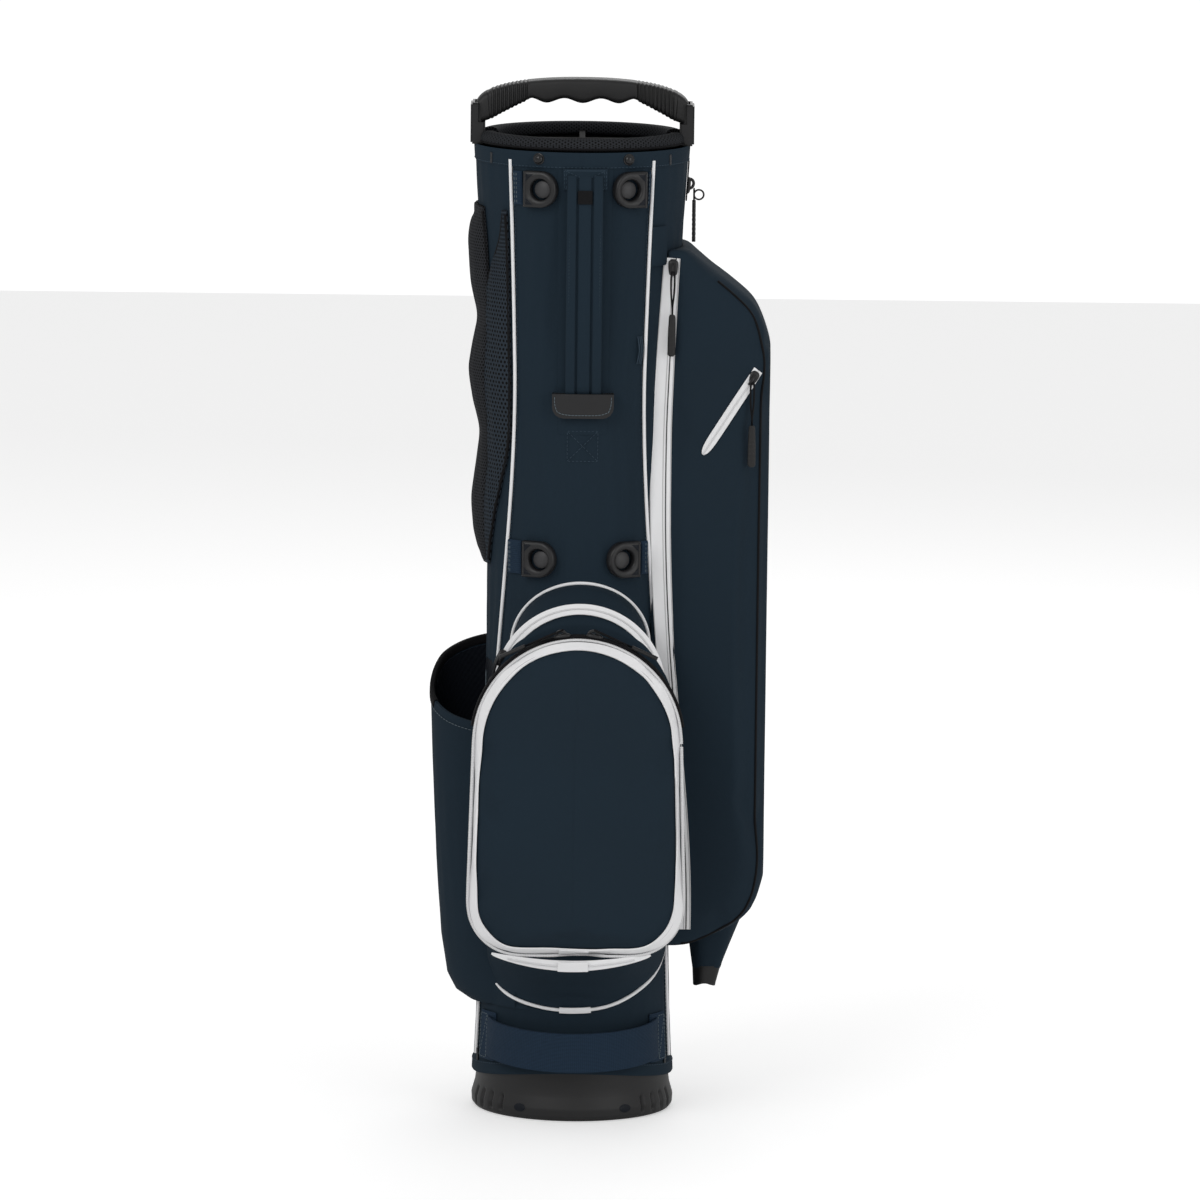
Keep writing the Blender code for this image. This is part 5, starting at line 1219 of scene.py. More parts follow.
def build_valuables(s):
    """Rings of that shape from the trunk out to the front, where a fan closes them. What lies inside the
    trunk is pushed out onto it."""
    steps = ((0.0586, 0.4124, 0.0, -0.060), (0.0590, 0.4118, 0.05, -0.070), (0.0598, 0.4085, 0.35, -0.085),
             (0.0625, 0.4000, 0.60, -0.098), (0.0660, 0.3910, 0.80, -0.108), (0.0680, 0.3850, 0.88, -0.1130),
             (0.0780, 0.3690, 0.95, -0.1165), (0.0825, 0.3610, 1.0, -0.1190), (0.0810, 0.3600, 1.0, -0.1198))
    steps = np.array(steps)
    fine = curve(join(steps[:, 3], steps[:, 0], steps[:, 1], steps[:, 2] * 0.05), 40)
    rings = np.array([valuables_ring(s, r, c, k / 0.05, y) for y, r, c, k in fine])
    low = np.clip((0.20 - rings[..., 2]) / 0.09, 0.0, 1.0)
    share = np.linspace(0.0, 1.0, len(rings))[:, None]
    sunk = -on_trunk(angle_at(rings[..., 0], rings[..., 2]), rings[..., 2])[..., 1]
    follow = sunk + share**1.2 * np.clip((rings[..., 2] - 0.098) / 0.055, 0.0, 1.0) ** 0.7 * 0.045
    rings[..., 1] = -((1.0 - low) * -rings[..., 1] + low * np.minimum(follow, -rings[..., 1]))
    rings = hug_trunk(rings, 0.0003)
    skin = Skin()
    skin.tube(rings)
    piece(skin, "valuables_pocket_body", "navy_fabric", "navy_fabric", "valuables_pocket")
    turn = np.linspace(0.0, np.pi, 90)
    arch = join(s.spine_x + 0.0586 * np.cos(turn), 0.4124 + 0.0586 * np.sin(turn))
    legs = np.linspace(0.395, 0.4124, 8)[:-1]
    line = np.vstack([join(s.spine_x + 0.0592, legs), arch,
                      join(s.spine_x - 0.0592, legs[::-1])])
    skin = Skin()
    angles = angle_at(line[:, 0], line[:, 1])
    sweep(skin, on_trunk(angles, line[:, 1], 0.0013), trunk_out(angles), round_section(s.piping_radius, 12))
    low_line = curve([(-0.0750, 0.1300), (-0.0660, 0.1150), (-0.0500, 0.1050), (-0.0250, 0.0992),
                      (0.0, 0.0978),
                      (0.0250, 0.0998), (0.0450, 0.1062), (0.0630, 0.1170), (0.0735, 0.1280),
                      (0.0795, 0.1415)], 120)
    angles = angle_at(low_line[:, 0], low_line[:, 1])
    taper = np.clip(np.minimum(np.arange(120), 119 - np.arange(120)) / 18.0, 0.15, 1.0)
    section = taper[:, None, None] * round_section(s.piping_radius, 12)[None]
    sweep(skin, on_trunk(angles, low_line[:, 1], 0.0012), trunk_out(angles), section)
    middle = np.abs(low_line[:, 0] - 0.002) < 0.0135
    sweep(skin, on_trunk(angles[middle], low_line[middle, 1], 0.0012), trunk_out(angles[middle]),
          flat_section(0.0052, 0.0022, 0.4))
    piece(skin, "valuables_piping", "white_tape", "white_tape")
    arch = join(s.spine_x + 0.0690 * np.cos(turn), -0.1135, 0.3850 + 0.0690 * np.sin(turn))
    radial = join(np.cos(turn), 0.0, np.sin(turn))
    out = unit(radial * 0.55 + FRONT * 0.83)
    skin = Skin()
    sweep(skin, arch, out, flat_section(s.valuables_tape, 0.0014, 0.3))
    piece(skin, "valuables_zip_tape", "white_tape", "white_tape")
    skin = Skin()
    coil(skin, arch + out * 0.0014, out, 0.0009)
    piece(skin, "valuables_zip_coil", "white_coil", "white_tape")
    cords, grip, slider = Skin(), Skin(), Skin()
    start, end = np.array([-0.0655, -0.1180, 0.4100]), np.array([-0.0790, -0.1255, 0.3760])
    hang = unit(end - start)
    across = unit(np.cross(hang, FRONT))
    add_pull(cords, grip, start, hang, across, np.linalg.norm(end - start), s, 0.022)
    add_slider(slider, start - hang * 0.002 + [0.0, 0.003, 0.0], -hang, FRONT, s)
    piece(cords, "valuables_pull_cord", "black_binding", "black_rubber")
    piece(grip, "valuables_pull_grip", "black_rubber", "black_rubber")
    piece(slider, "valuables_slider", "black_plastic", "black_plastic")


# ---- garment pocket -------------------------------------------------------------------------------
def build_garment(s):
    """At each height the section runs from the corner with the trunk along the front, round the side and
    back, and home along the trunk. Its reach follows a smooth curve through the pocket's profile."""
    low, high = limits("garment_pocket")
    reach, top, foot, half_y = high[0], high[2], low[2], s.garment_half_y
    profile = curve([(reach - 0.0668, foot), (reach - 0.0420, foot + 0.010), (reach - 0.0185, foot + 0.024),
                     (reach - 0.0070, foot + 0.042), (reach - 0.0012, foot + 0.070), (reach, foot + 0.110),
                     (reach, 0.35), (reach, 0.50), (reach, top - 0.112), (reach - 0.0040, top - 0.0790),
                     (reach - 0.0120, top - 0.0545), (reach - 0.0300, top - 0.0360),
                     (reach - 0.0500, top - 0.0195),
                     (reach - 0.0715, top)], 400)
    levels = np.concatenate([np.linspace(foot, foot + 0.05, 24), np.linspace(foot + 0.055, top - 0.06, 70),
                             np.linspace(top - 0.055, top, 28)])
    out_x = np.interp(levels, profile[:, 1], profile[:, 0])
    half = half_width(levels)
    corner = half * np.sqrt(1.0 - (half_y / (half * DEPTH_RATIO)) ** 2) - 0.001
    out_x = np.maximum(out_x, corner + 0.004)
    share = np.linspace(0.0, 1.0, 24)[:-1]
    turn = np.linspace(0.0, 0.5 * np.pi, 9)[:-1]
    rings = []
    for z, x_in, x_out in zip(levels, corner, out_x):
        bend = min(0.014, 0.45 * (x_out - x_in))
        front = join(x_in + share * (x_out - bend - x_in), -half_y)
        first = join(x_out - bend + bend * np.sin(turn), -half_y + bend - bend * np.cos(turn))
        side = join(x_out, -half_y + bend + share * 2.0 * (half_y - bend))
        second = join(x_out - bend + bend * np.cos(turn), half_y - bend + bend * np.sin(turn))
        back = join(x_out - bend - share * (x_out - bend - x_in), half_y)
        start = np.degrees(np.arctan2(x_in, -half_y / DEPTH_RATIO))
        inner = on_trunk(start - share * (2.0 * start - 180.0), z, FIT)[:, :2]
        flat = np.vstack([front, first, side, second, back, inner])
        rings.append(np.column_stack([flat, np.full(len(flat), z)]))
    rings = np.array(rings)
    skin = Skin()
    skin.tube(rings)

    def hold(points):
        half = half_width(points[:, 2])
        near = np.hypot(points[:, 0] / half, points[:, 1] / (half * DEPTH_RATIO))
        ends = np.minimum((points[:, 2] - foot) / 0.03, (top - points[:, 2]) / 0.05)
        return np.clip((near - 1.02) / 0.12, 0.0, 1.0) * np.clip(ends, 0.15, 1.0)

    obj, moved = puff(skin, "garment_pocket_body", s, s.garment_puff, hold)
    moved[:, 0] = np.minimum(moved[:, 0], reach + 0.0015)
    mesh = close_puff(obj, hug_trunk(moved, 0.0002), -half_y)
    body = link("garment_pocket_body", mesh, finish("navy_fabric"), BAG, "navy_fabric", "garment_pocket")
    tree = touch_tree(mesh)
    build_garment_trim(s, tree, profile, top, foot)


def side_zip_line():
    """The side tape's middle, from the frame's own tape, its heights and its width at each."""
    points = node_points("side_zip_tape")
    heights = np.unique(np.round(points[:, 2], 3))
    slices = [points[np.abs(points[:, 2] - z) < 0.002, 0] for z in heights]
    fit = np.polyfit(heights, [0.5 * (x.min() + x.max()) for x in slices], 4)
    z = np.linspace(heights[0], heights[-1], 160)
    width = np.interp(z, [0.17, 0.42, 0.55, 0.66, 0.75], [0.0150, 0.0165, 0.0190, 0.0165, 0.0140])
    return np.polyval(fit, z), z, width


def build_garment_trim(s, tree, profile, top, foot):
    """Strips carried along lines that are laid on the pocket: zips, grey lines of painted fold shade, coils
    and piping.
    """
    x, z, width = side_zip_line()
    points = join(x, -s.garment_half_y, z)
    place, out = settle(tree, points, (0.0, 1.0, 0.0), 0.0002)
    place, out = calm(place, 10), unit(calm(out, 20) + FRONT)
    skin = Skin()
    sweep(skin, place, out, tape_section(width, 0.0013))
    piece(skin, "side_zip_band", "white_tape", "white_tape", "side_zip_tape")
    across = unit(np.cross(unit(np.gradient(place, axis=0)), out))
    across *= np.sign(across[:, :1])
    dark, folds = Skin(), Skin()
    line = place + across * (0.25 * width)[:, None] + out * 0.0012
    sweep(dark, line, out, flat_section(0.0010, 0.0005, 0.5, 10))
    piece(dark, "side_zip_closure", "grey_plastic", "white_tape")
    # Three grey lines on the side tape: the painted shade of its folds.
    for share in (-0.46, 0.12, 0.47):
        sweep(folds, place + across * (share * width)[:, None] + out * 0.0010, out, round_section(0.0006, 8))
    piece(folds, "side_zip_fold_shade", "fold_shade_grey", "white_tape")
    low, high = limits("diagonal_zip_tape")
    ends = np.array([[high[0] - 0.0035, -s.garment_half_y, high[2] - 0.0022],
                     [low[0] + 0.0035, -s.garment_half_y, low[2] + 0.0022]])
    line = spread(ends, 40)
    place, out = settle(tree, line, (0.0, 1.0, 0.0), 0.0002)
    place, out = calm(place, 8), unit(calm(out, 10) + 0.5 * FRONT)
    narrow = s.diagonal_width * np.sqrt(np.clip(1.0 - (np.linspace(0.0, 1.0, 40) ** 14), 0.05, 1.0))
    skin = Skin()
    sweep(skin, place, out, tape_section(narrow, 0.0013))
    piece(skin, "diagonal_zip_band", "white_tape", "white_tape", "diagonal_zip_tape")
    skin = Skin()
    coil(skin, place + out * 0.0011, out, 0.0008)
    piece(skin, "diagonal_zip_coil", "white_coil", "white_tape")
    edge = profile[(profile[:, 1] < top - 0.030) | (profile[:, 0] > profile[0, 0])]
    skin = Skin()
    for side in (-1.0, 1.0):
        keep = edge[edge[:, 1] < top - 0.027]
        inset = join(keep[:, 0] - 0.0042, keep[:, 1])
        inset[:, 1] = np.maximum(inset[:, 1], foot + 0.003)
        line = join(inset[:, 0], side * (s.garment_half_y - 0.0045), inset[:, 1])
        direction = unit(np.array([-0.6, -side * 0.8, 0.0]))
        place, out = settle(tree, line, direction, 0.0004)
        sweep(skin, calm(place, 20), unit(calm(out, 20)), round_section(0.0011, 8))
    piece(skin, "garment_pocket_piping", "black_binding", "navy_fabric")
    hood = Skin()
    angle = float(seam_angle(0.75))
    trunk_patch(hood, angle + 1.2, lambda z: angle + 13.0 + (0.772 - z) * 60.0, 0.744, 0.778, 0.0022,
                lift=0.0010,
                rows=20, columns=20)
    piece(hood, "side_zip_hood", "navy_fabric", "navy_fabric")
    loop = Skin()
    for shift in (-0.0012, 0.0004, 0.0018):
        a = float(angle_at(0.0500 + shift, 0.672))
        path = on_trunk(a + np.array([0.0, 0.3, 0.0]), np.array([0.684, 0.672, 0.660]),
                        np.array([0.0006, 0.0030, 0.0006]))
        sweep(loop, curve(path, 12), trunk_out(a), round_section(0.0006, 6))
    piece(loop, "cord_keeper", "navy_thread", "navy_webbing")
    ring = Skin()
    pivot = slider_frame("upper_zip_slider")[1]
    turn = full_turn(24)
    circle = pivot + 0.0042 * join(np.cos(turn), 0.0, np.sin(turn)) + [0.0042, 0.0, -0.0042]
    sweep(ring, circle, np.array([0.0, 1.0, 0.0]), round_section(0.0008, 8), loop=True)
    piece(ring, "upper_zip_ring", "black_plastic", "black_rubber", body="upper_zip_pull")
    upper = Skin()
    z = np.linspace(0.795, 0.829, 12)
    sweep(upper, on_trunk(90.0, z, 0.0004), trunk_out(90.0), flat_section(0.012, 0.0012, 0.3))
    piece(upper, "upper_zip_tape", "black_binding", "navy_fabric")


# ---- drinks pouch ---------------------------------------------------------------------------------
def pouch_rim(y_share):
    """The rim's height: low at the front, high at the back."""
    return np.interp(y_share, [-1.0, -0.6, 0.0, 0.5, 1.0], [0.341, 0.350, 0.366, 0.392, 0.409])


def pouch_wall(inset, s, rows=60, levels=40):
    """A half round wall: for a turn from -90 to 90 degrees x = -(a + (reach(z) - a) cos t), y = b sin t."""
    low, high = limits("drinks_pouch")
    reach = -low[0]
    turn = np.radians(np.linspace(-90.0, 90.0, rows))[:, None]
    share = np.linspace(0.0, 1.0, levels)
    rim = pouch_rim(np.sin(turn))
    z = low[2] + inset * 1.2 + share * (rim - low[2] - inset * 1.2)
    bulge = np.interp(z, [low[2], low[2] + 0.006, low[2] + 0.020, 0.150, 0.220, 0.300, 0.364, 0.42],
                      [-0.034, -0.0240, -0.0165, -0.0110, -0.0062, -0.0020, 0.0, 0.0005])
    wide = (reach + bulge) - 0.040 - inset
    x = -0.040 - wide * np.maximum(np.cos(turn), 0.0) ** 0.85
    y = (s.pouch_half_y - inset) * np.sign(np.sin(turn)) * np.abs(np.sin(turn)) ** 0.9
    folds = ripple(turn * 0.8, z * 1.5, 0.0007) * np.clip(1.0 - 2.0 * np.abs(share - 0.45), 0.0,
                                                                    1.0)
    points = join(x - folds, y, z)
    return hug_trunk(points, 0.0006 + 0.3 * (0.0026 - inset))


def build_pouch(s):
    """Two walls of that form make the shell, and a thinner pair its lining. A binding follows the rim."""
    outer = pouch_wall(0.0, s)
    inner = pouch_wall(0.0026, s)
    skin = Skin()
    add_slab(skin, outer, inner)
    floor_outer, floor_inner = outer[:, 0], inner[:, 0]
    seat = hug_trunk(floor_outer * [0.55, 0.8, 1.0], 0.0004)
    tops = hug_trunk(floor_inner * [0.55, 0.8, 1.0], 0.0004)
    tops[:, 2] = floor_inner[:, 2] + 0.0005
    share = np.linspace(0.0, 1.0, 8)[None, :, None]
    add_slab(skin, seat[:, None] + share * (floor_outer - seat)[:, None],
             tops[:, None] + share * (floor_inner - tops)[:, None])
    piece(skin, "drinks_pouch_shell", "navy_fabric", "navy_fabric", "drinks_pouch")
    lining = Skin()
    add_slab(lining, pouch_wall(0.0028, s)[:, 2:-1], pouch_wall(0.0036, s)[:, 2:-1])
    piece(lining, "drinks_pouch_lining", "dark_lining_and_shade", "black_mesh")
    back = Skin()
    a0, a1 = 180.0 + 38.0, 360.0 - 36.0
    trunk_patch(back, a0, a1, 0.110, 0.395, 0.0006, lift=0.0003, rows=30, columns=30)
    piece(back, "drinks_pouch_back", "dark_lining_and_shade", "black_mesh")
    rim = 0.5 * (outer[:, -1] + inner[:, -1])
    out = unit((outer[:, -1] - inner[:, -1]) * [1.0, 1.0, 0.0])
    skin = Skin()
    behind = slice(24, None)
    turn = full_turn(16)
    section = join(0.0042 * rounded(turn, 0.6), 0.0024 * rounded(turn - np.pi / 2, 0.6))
    sweep(skin, (rim - [0.0, 0.0, 0.0030])[behind], out[behind], section)
    piece(skin, "drinks_pouch_binding", "black_binding", "black_rubber")
    thread = Skin()
    stitches(thread, rim - [0.0, 0.0, 0.0075] + out * 0.0016, out)
    zig = np.linspace(0.345, 0.385, 19)
    swing = 0.0022 * np.where(np.arange(19) % 2, 1.0, -1.0)
    for y in (-0.034, -0.012, 0.014):
        base = on_trunk(270.0 + y * 700.0, zig, 0.0012)
        line = base + join(0.0, swing, 0.0)
        stitches(thread, line, trunk_out(270.0 + y * 700.0), pitch=0.0030, radius=0.0005)
    piece(thread, "drinks_pouch_stitches", "grey_thread", "navy_fabric")


# ---- shoulder pads --------------------------------------------------------------------------------
def build_pads(s):
    """The folded pads: lift = thin + bulge(z) * sin(pi * share)^0.45, less towards both ends."""
    heights = [0.480, 0.505, 0.5345, 0.570, 0.594, 0.620, 0.6477, 0.675, 0.693, 0.720, 0.7605, 0.780, 0.791]
    reach = [0.0840, 0.0915, 0.0937, 0.0885, 0.0856, 0.0930, 0.0973, 0.0925, 0.0882, 0.0950, 0.0983, 0.0955,
             0.0860]
    levels = [0.480, 0.505, 0.535, 0.575, 0.600, 0.700, 0.735, 0.765, 0.791]
    shapes = {
        "shoulder_pad_outer": ([-128.0] * 9, [-76.0, -74.0, -72.0, -70.0, -70.0, -66.0, -65.0, -66.0, -68.0]),
        "shoulder_pad_front": ([-86.0, -84.0, -82.0, -80.0, -78.0, -74.0, -62.0, -51.0, -48.0],
                               [-72.0, -67.0, -59.0, -48.0, -45.0, -44.3, -44.3, -44.3, -45.0]),
    }
    for name, thick, look in (("shoulder_pad_outer", 1.0, "fine_mesh"),
                              ("shoulder_pad_front", 0.40, "coarse_mesh")):
        across = np.linspace(0.0, 1.0, 40)
        z = np.linspace(heights[0], heights[-1], 130)[:, None]
        start, end = (calm(np.interp(z, levels, limit), 8) for limit in shapes[name])
        angles = start + across * (end - start)
        bulge = np.interp(z, heights, reach) - half_width(z)
        bulge = np.maximum(calm(bulge, 10), 0.004) * thick
        edge = np.maximum(np.sin(np.pi * across), 0.0) ** 0.45
        ends = np.clip(np.minimum(z - heights[0], heights[-1] - z) / 0.012, 0.0, 1.0) ** 0.5
        lift = 0.0030 + np.maximum(bulge - 0.003,
                                   0.0005) * edge * (0.3 + 0.7 * ends) + ripple(angles / 50, z * 2, 0.0005)
        outer = on_trunk(angles, z, lift)
        inner = on_trunk(angles, z, 0.0008)
        skin = Skin()
        add_slab(skin, outer, inner)
        nodes = ["shoulder_pad_upper", "shoulder_pad_lower"] if name == "shoulder_pad_outer" else []
        obj = piece(skin, name, look, "black_mesh", *nodes)
    rims = Skin()
    z = np.linspace(0.484, 0.787, 100)
    for name in shapes:
        for limit, inward in zip(shapes[name], (0.8, -0.8)):
            a = calm(np.interp(z, levels, limit), 8) + inward
            sweep(rims, on_trunk(a, z, 0.0024), trunk_out(a), round_section(0.0013, 10))
    piece(rims, "shoulder_pad_binding", "black_binding", "black_mesh")


# ---- lift handle, umbrella sleeve ----------------------------------------------------------------------
def build_lift_handle(s):
    """The webbing stands off the trunk by out * cos(quarter turn)^0.8 between its sewn ends."""
    low, high = limits("lift_handle")
    z = 0.5 * (low[2] + high[2])
    angles = np.linspace(-s.lift_angle, s.lift_angle, 121)
    bow = s.lift_out * np.maximum(np.cos(np.radians(90.0 * angles / s.lift_angle)), 0.0) ** 0.8
    sag = -0.0045 * np.maximum(np.cos(np.radians(90.0 * angles / s.lift_angle)), 0.0)
    path = on_trunk(angles, z + 0.002 + sag, 0.0012 + bow)
    skin = Skin()
    out = trunk_out(angles)
    sweep(skin, path, out, flat_section(s.lift_height, 0.0022, 0.2, 24))
    piece(skin, "lift_handle_webbing", "navy_webbing", "navy_webbing", "lift_handle")
    ends = Skin()
    thread = Skin()
    for side in (-1.0, 1.0):
        a, b = sorted((side * (s.lift_angle - 6.0), side * (s.lift_angle + 10.0)))
        trunk_patch(ends, a, b, z - 0.020, lambda t: z + 0.0225 + 0.0 * t, 0.0018, lift=0.0008, rows=20,
                    columns=16)
        a, b = sorted((side * (s.lift_angle + 1.5), side * (s.lift_angle + 9.0)))
        box = [(a, z - 0.018), (b, z - 0.018), (b, z + 0.020), (a, z + 0.020), (a, z - 0.018), (b, z + 0.020)]
        trunk_stitches(thread, box, lift=0.0026)
    piece(ends, "lift_handle_ends", "navy_webbing", "navy_webbing")
    piece(thread, "lift_handle_stitches", "grey_thread", "navy_webbing")


def build_sleeve(s):
    """A tapered tube of ellipses with a few soft folds, and a cut off toe of rubber."""
    high = limits("umbrella_sleeve")[1]
    toe_low, toe_high = limits("umbrella_sleeve_toe")
    cx, cy = 0.5 * (toe_low[0] + toe_high[0]), 0.5 * (toe_low[1] + toe_high[1])
    for name, z0, z1, look, slot, node in (
        ("umbrella_sleeve_fabric", toe_high[2] - 0.001, high[2] + 0.004, "navy_fabric", "navy_fabric",
         "umbrella_sleeve"),
        ("umbrella_sleeve_tip", toe_low[2] - 0.003, toe_high[2], "black_rubber", "black_rubber",
         "umbrella_sleeve_toe"),
    ):
        share = np.linspace(0.0, 1.0, 30)[:, None]
        z = z0 + share * (z1 - z0)
        turn = full_turn(48)
        half = np.interp(z, [0.102, 0.117, 0.165], [0.0096, 0.0120, 0.0245])
        folds = 1.0 + 0.03 * np.sin(5.0 * turn + 40.0 * z)
        shift = np.interp(z, [0.102, 0.165], [0.0, 0.0075])
        rings = join(cx + shift + half * folds * np.cos(turn), cy + half * 0.8 * folds * np.sin(turn),
                          z + 0.0012 * np.sin(3 * turn) * (share < 0.05))
        skin = Skin()
        skin.tube(rings)
        piece(skin, name, look, slot, node)


# ---- base and legs -------------------------------------------------------------------------------
def build_base(s):
    """The moulded cup: a flared wall with upright flex grooves at both sides, two dark patches low at the
    front that paint the shade of its recesses, and a sole that slopes up behind the foot hinge."""
    low, high = limits("base_cup")
    hinge = np.array(JOINTS["foot_hinge"]["pos_m"], float)
    plate_low = limits("foot_plate")[0]
    barrel = 0.0070
    notch_x = 0.0610
    slope = math.radians(25.5)
    plate_top = plate_low[2] + 0.004
    under = hinge[2] - (hinge[2] - plate_top - 0.0006) / math.cos(slope)
    count = 360
    turn = full_turn(count)
    degrees = np.degrees(turn)
    lip, neck = high[0], high[0] - 0.0031
    hidden = float(half_width(HEM_Z)) - 0.0026

    def half(z):
        return np.interp(z, [0.0, 0.003, 0.010, 0.021, HEM_Z - 0.004, high[2]],
                         [lip - 0.0028, lip - 0.0004, lip, neck, hidden, hidden - 0.0004])

    def sole(y):
        sloped = under + (y - hinge[1]) * math.tan(slope)
        return np.where(y > hinge[1], np.maximum(sloped, 0.0), 0.0)

    def cavity(x, y, z):
        inside = np.clip(1.0 - ((y - hinge[1]) / (barrel + 0.0007)) ** 2, 0.0, 1.0)
        roof = hinge[2] + (barrel + 0.0007) * np.sqrt(inside)
        near = (np.abs(y - hinge[1]) < barrel + 0.0006) & (np.abs(x) < notch_x)
        return np.where(near, np.maximum(z, roof), z)

    sides = np.abs((degrees + 90.0) % 180.0 - 90.0)
    groove = np.zeros(count)
    for at in (18.0, 27.0, 36.0, 45.0):
        groove = np.maximum(groove, np.exp(-(((sides - at) / 1.1) ** 2)))
    rings = []
    sole_share = np.concatenate([np.linspace(0.02, 0.94, 46), [0.985]])
    edge_half = half(0.0)
    for share in sole_share:
        x, y = share * edge_half * np.cos(turn), share * edge_half * DEPTH_RATIO * np.sin(turn)
        rings.append(join(x, y, cavity(x, y, sole(y) + 0.0008)))
    for level in np.concatenate([[0.0], np.linspace(0.0008, 0.021, 22), np.linspace(0.024, HEM_Z, 4),
                                 [0.052, high[2]]]):
        y_edge = half(level) * DEPTH_RATIO * np.sin(turn)
        bottom = sole(y_edge)
        z = np.maximum(bottom + 0.0002 * level, level)
        wall = half(z)
        cut = groove * s.groove_depth * np.clip((z - 0.0025) / 0.003, 0,
                                                1) * np.clip((0.0205 - z) / 0.004, 0, 1)
        wall = wall - cut
        rings.append(join(wall * np.cos(turn), wall * DEPTH_RATIO * np.sin(turn), z))
    inner = min(neck, hidden) - 0.0045
    for level in (high[2], 0.040, 0.014):
        x, y = inner * np.cos(turn), inner * DEPTH_RATIO * np.sin(turn)
        rings.append(join(x, y, np.maximum(sole(y) + 0.012, level)))
    for share in (0.6, 0.2):
        x, y = share * inner * np.cos(turn), share * inner * DEPTH_RATIO * np.sin(turn)
        rings.append(join(x, y, np.maximum(sole(y) + 0.012, 0.0175)))
    rings = np.array(rings)
    skin = Skin()
    skin.tube(rings)
    piece(skin, "base_cup_moulding", "base_plastic", "black_plastic", "base_cup")
    # The recesses are not cut: two thin dark caps on the wall paint their shade.
    holes = Skin()
    for x in (-0.0460, 0.0470):
        angle = float(angle_at(x, 0.03)) * 0.97
        ring = []
        t = full_turn(28)
        for lift, size in ((-0.004, 1.0), (0.0004, 1.0), (0.0006, 0.7)):
            a = np.radians(angle + 3.6 * size * np.cos(t))
            z = 0.0098 + 0.0036 * size * np.sin(t)
            wall = half(z) + lift
            ring.append(join(wall * np.sin(a), -wall * DEPTH_RATIO * np.cos(a), z))
        holes.grid(np.array(ring), coords_round(np.array(ring)))
    piece(holes, "base_recess_shade", "dark_lining_and_shade", "black_plastic")


def build_feet(s):
    """Rubber feet: radius against height, with rings moulded round their lower half."""
    for label in ("left", "right"):
        low, high = limits("leg_foot_" + label)
        middle = 0.5 * (low + high)
        z = np.linspace(0.0, high[2] - low[2], 90)
        share = z / z[-1]
        radius = (high[0] - low[0]) / 2.0 * np.interp(share, [0.0, 0.04, 0.12, 0.7, 0.97, 1.0],
                                                      [0.55, 0.80, 0.97, 0.99, 0.84, 0.72])
        radius = radius - 0.0005 * (0.5 + 0.5
                                    * np.sin(2.0 * np.pi * share * 14.0)) * (share < 0.62) * (share > 0.08)
        skin = Skin()
        lathe(skin, join(radius, z), np.array([middle[0], middle[1], low[2]]), UP, np.array([1.0, 0.0, 0.0]),
              32)
        piece(skin, f"leg_foot_{label}_rubber", "black_rubber", "black_rubber", "leg_foot_" + label,
              body="leg_" + label)


def paint_frame():
    """Gives the frame nodes that stay in view their finishes."""
    looks = {"top_collar": "black_plastic", "top_divider": "fine_mesh", "foot_plate": "black_rubber",
             "foot_pin": "steel", "leg_bracket": "black_plastic", "spine_handle_anchor": "black_leather",
             "stay": "dark_tube", "leg_knuckle": "black_plastic", "leg_pin": "steel", "rod": "steel",
             "leg": "dark_tube"}
    for name, node in FRAME["nodes"].items():
        if node.hide_render:
            continue
        key = name if name in looks else name.rsplit("_", 1)[0]
        if key in looks:
            node.data.materials.clear()
            node.data.materials.append(finish(looks[key]))


# ---- the add-on's settings ---------------------------------------------------------------------------
def metres(name, default, description):
    return FloatProperty(name=name, default=default, description=description, unit="LENGTH", precision=4)


def tint(name, default, description):
    return FloatVectorProperty(name=name, default=default, description=description, subtype="COLOR", min=0.0,
                               max=1.0)


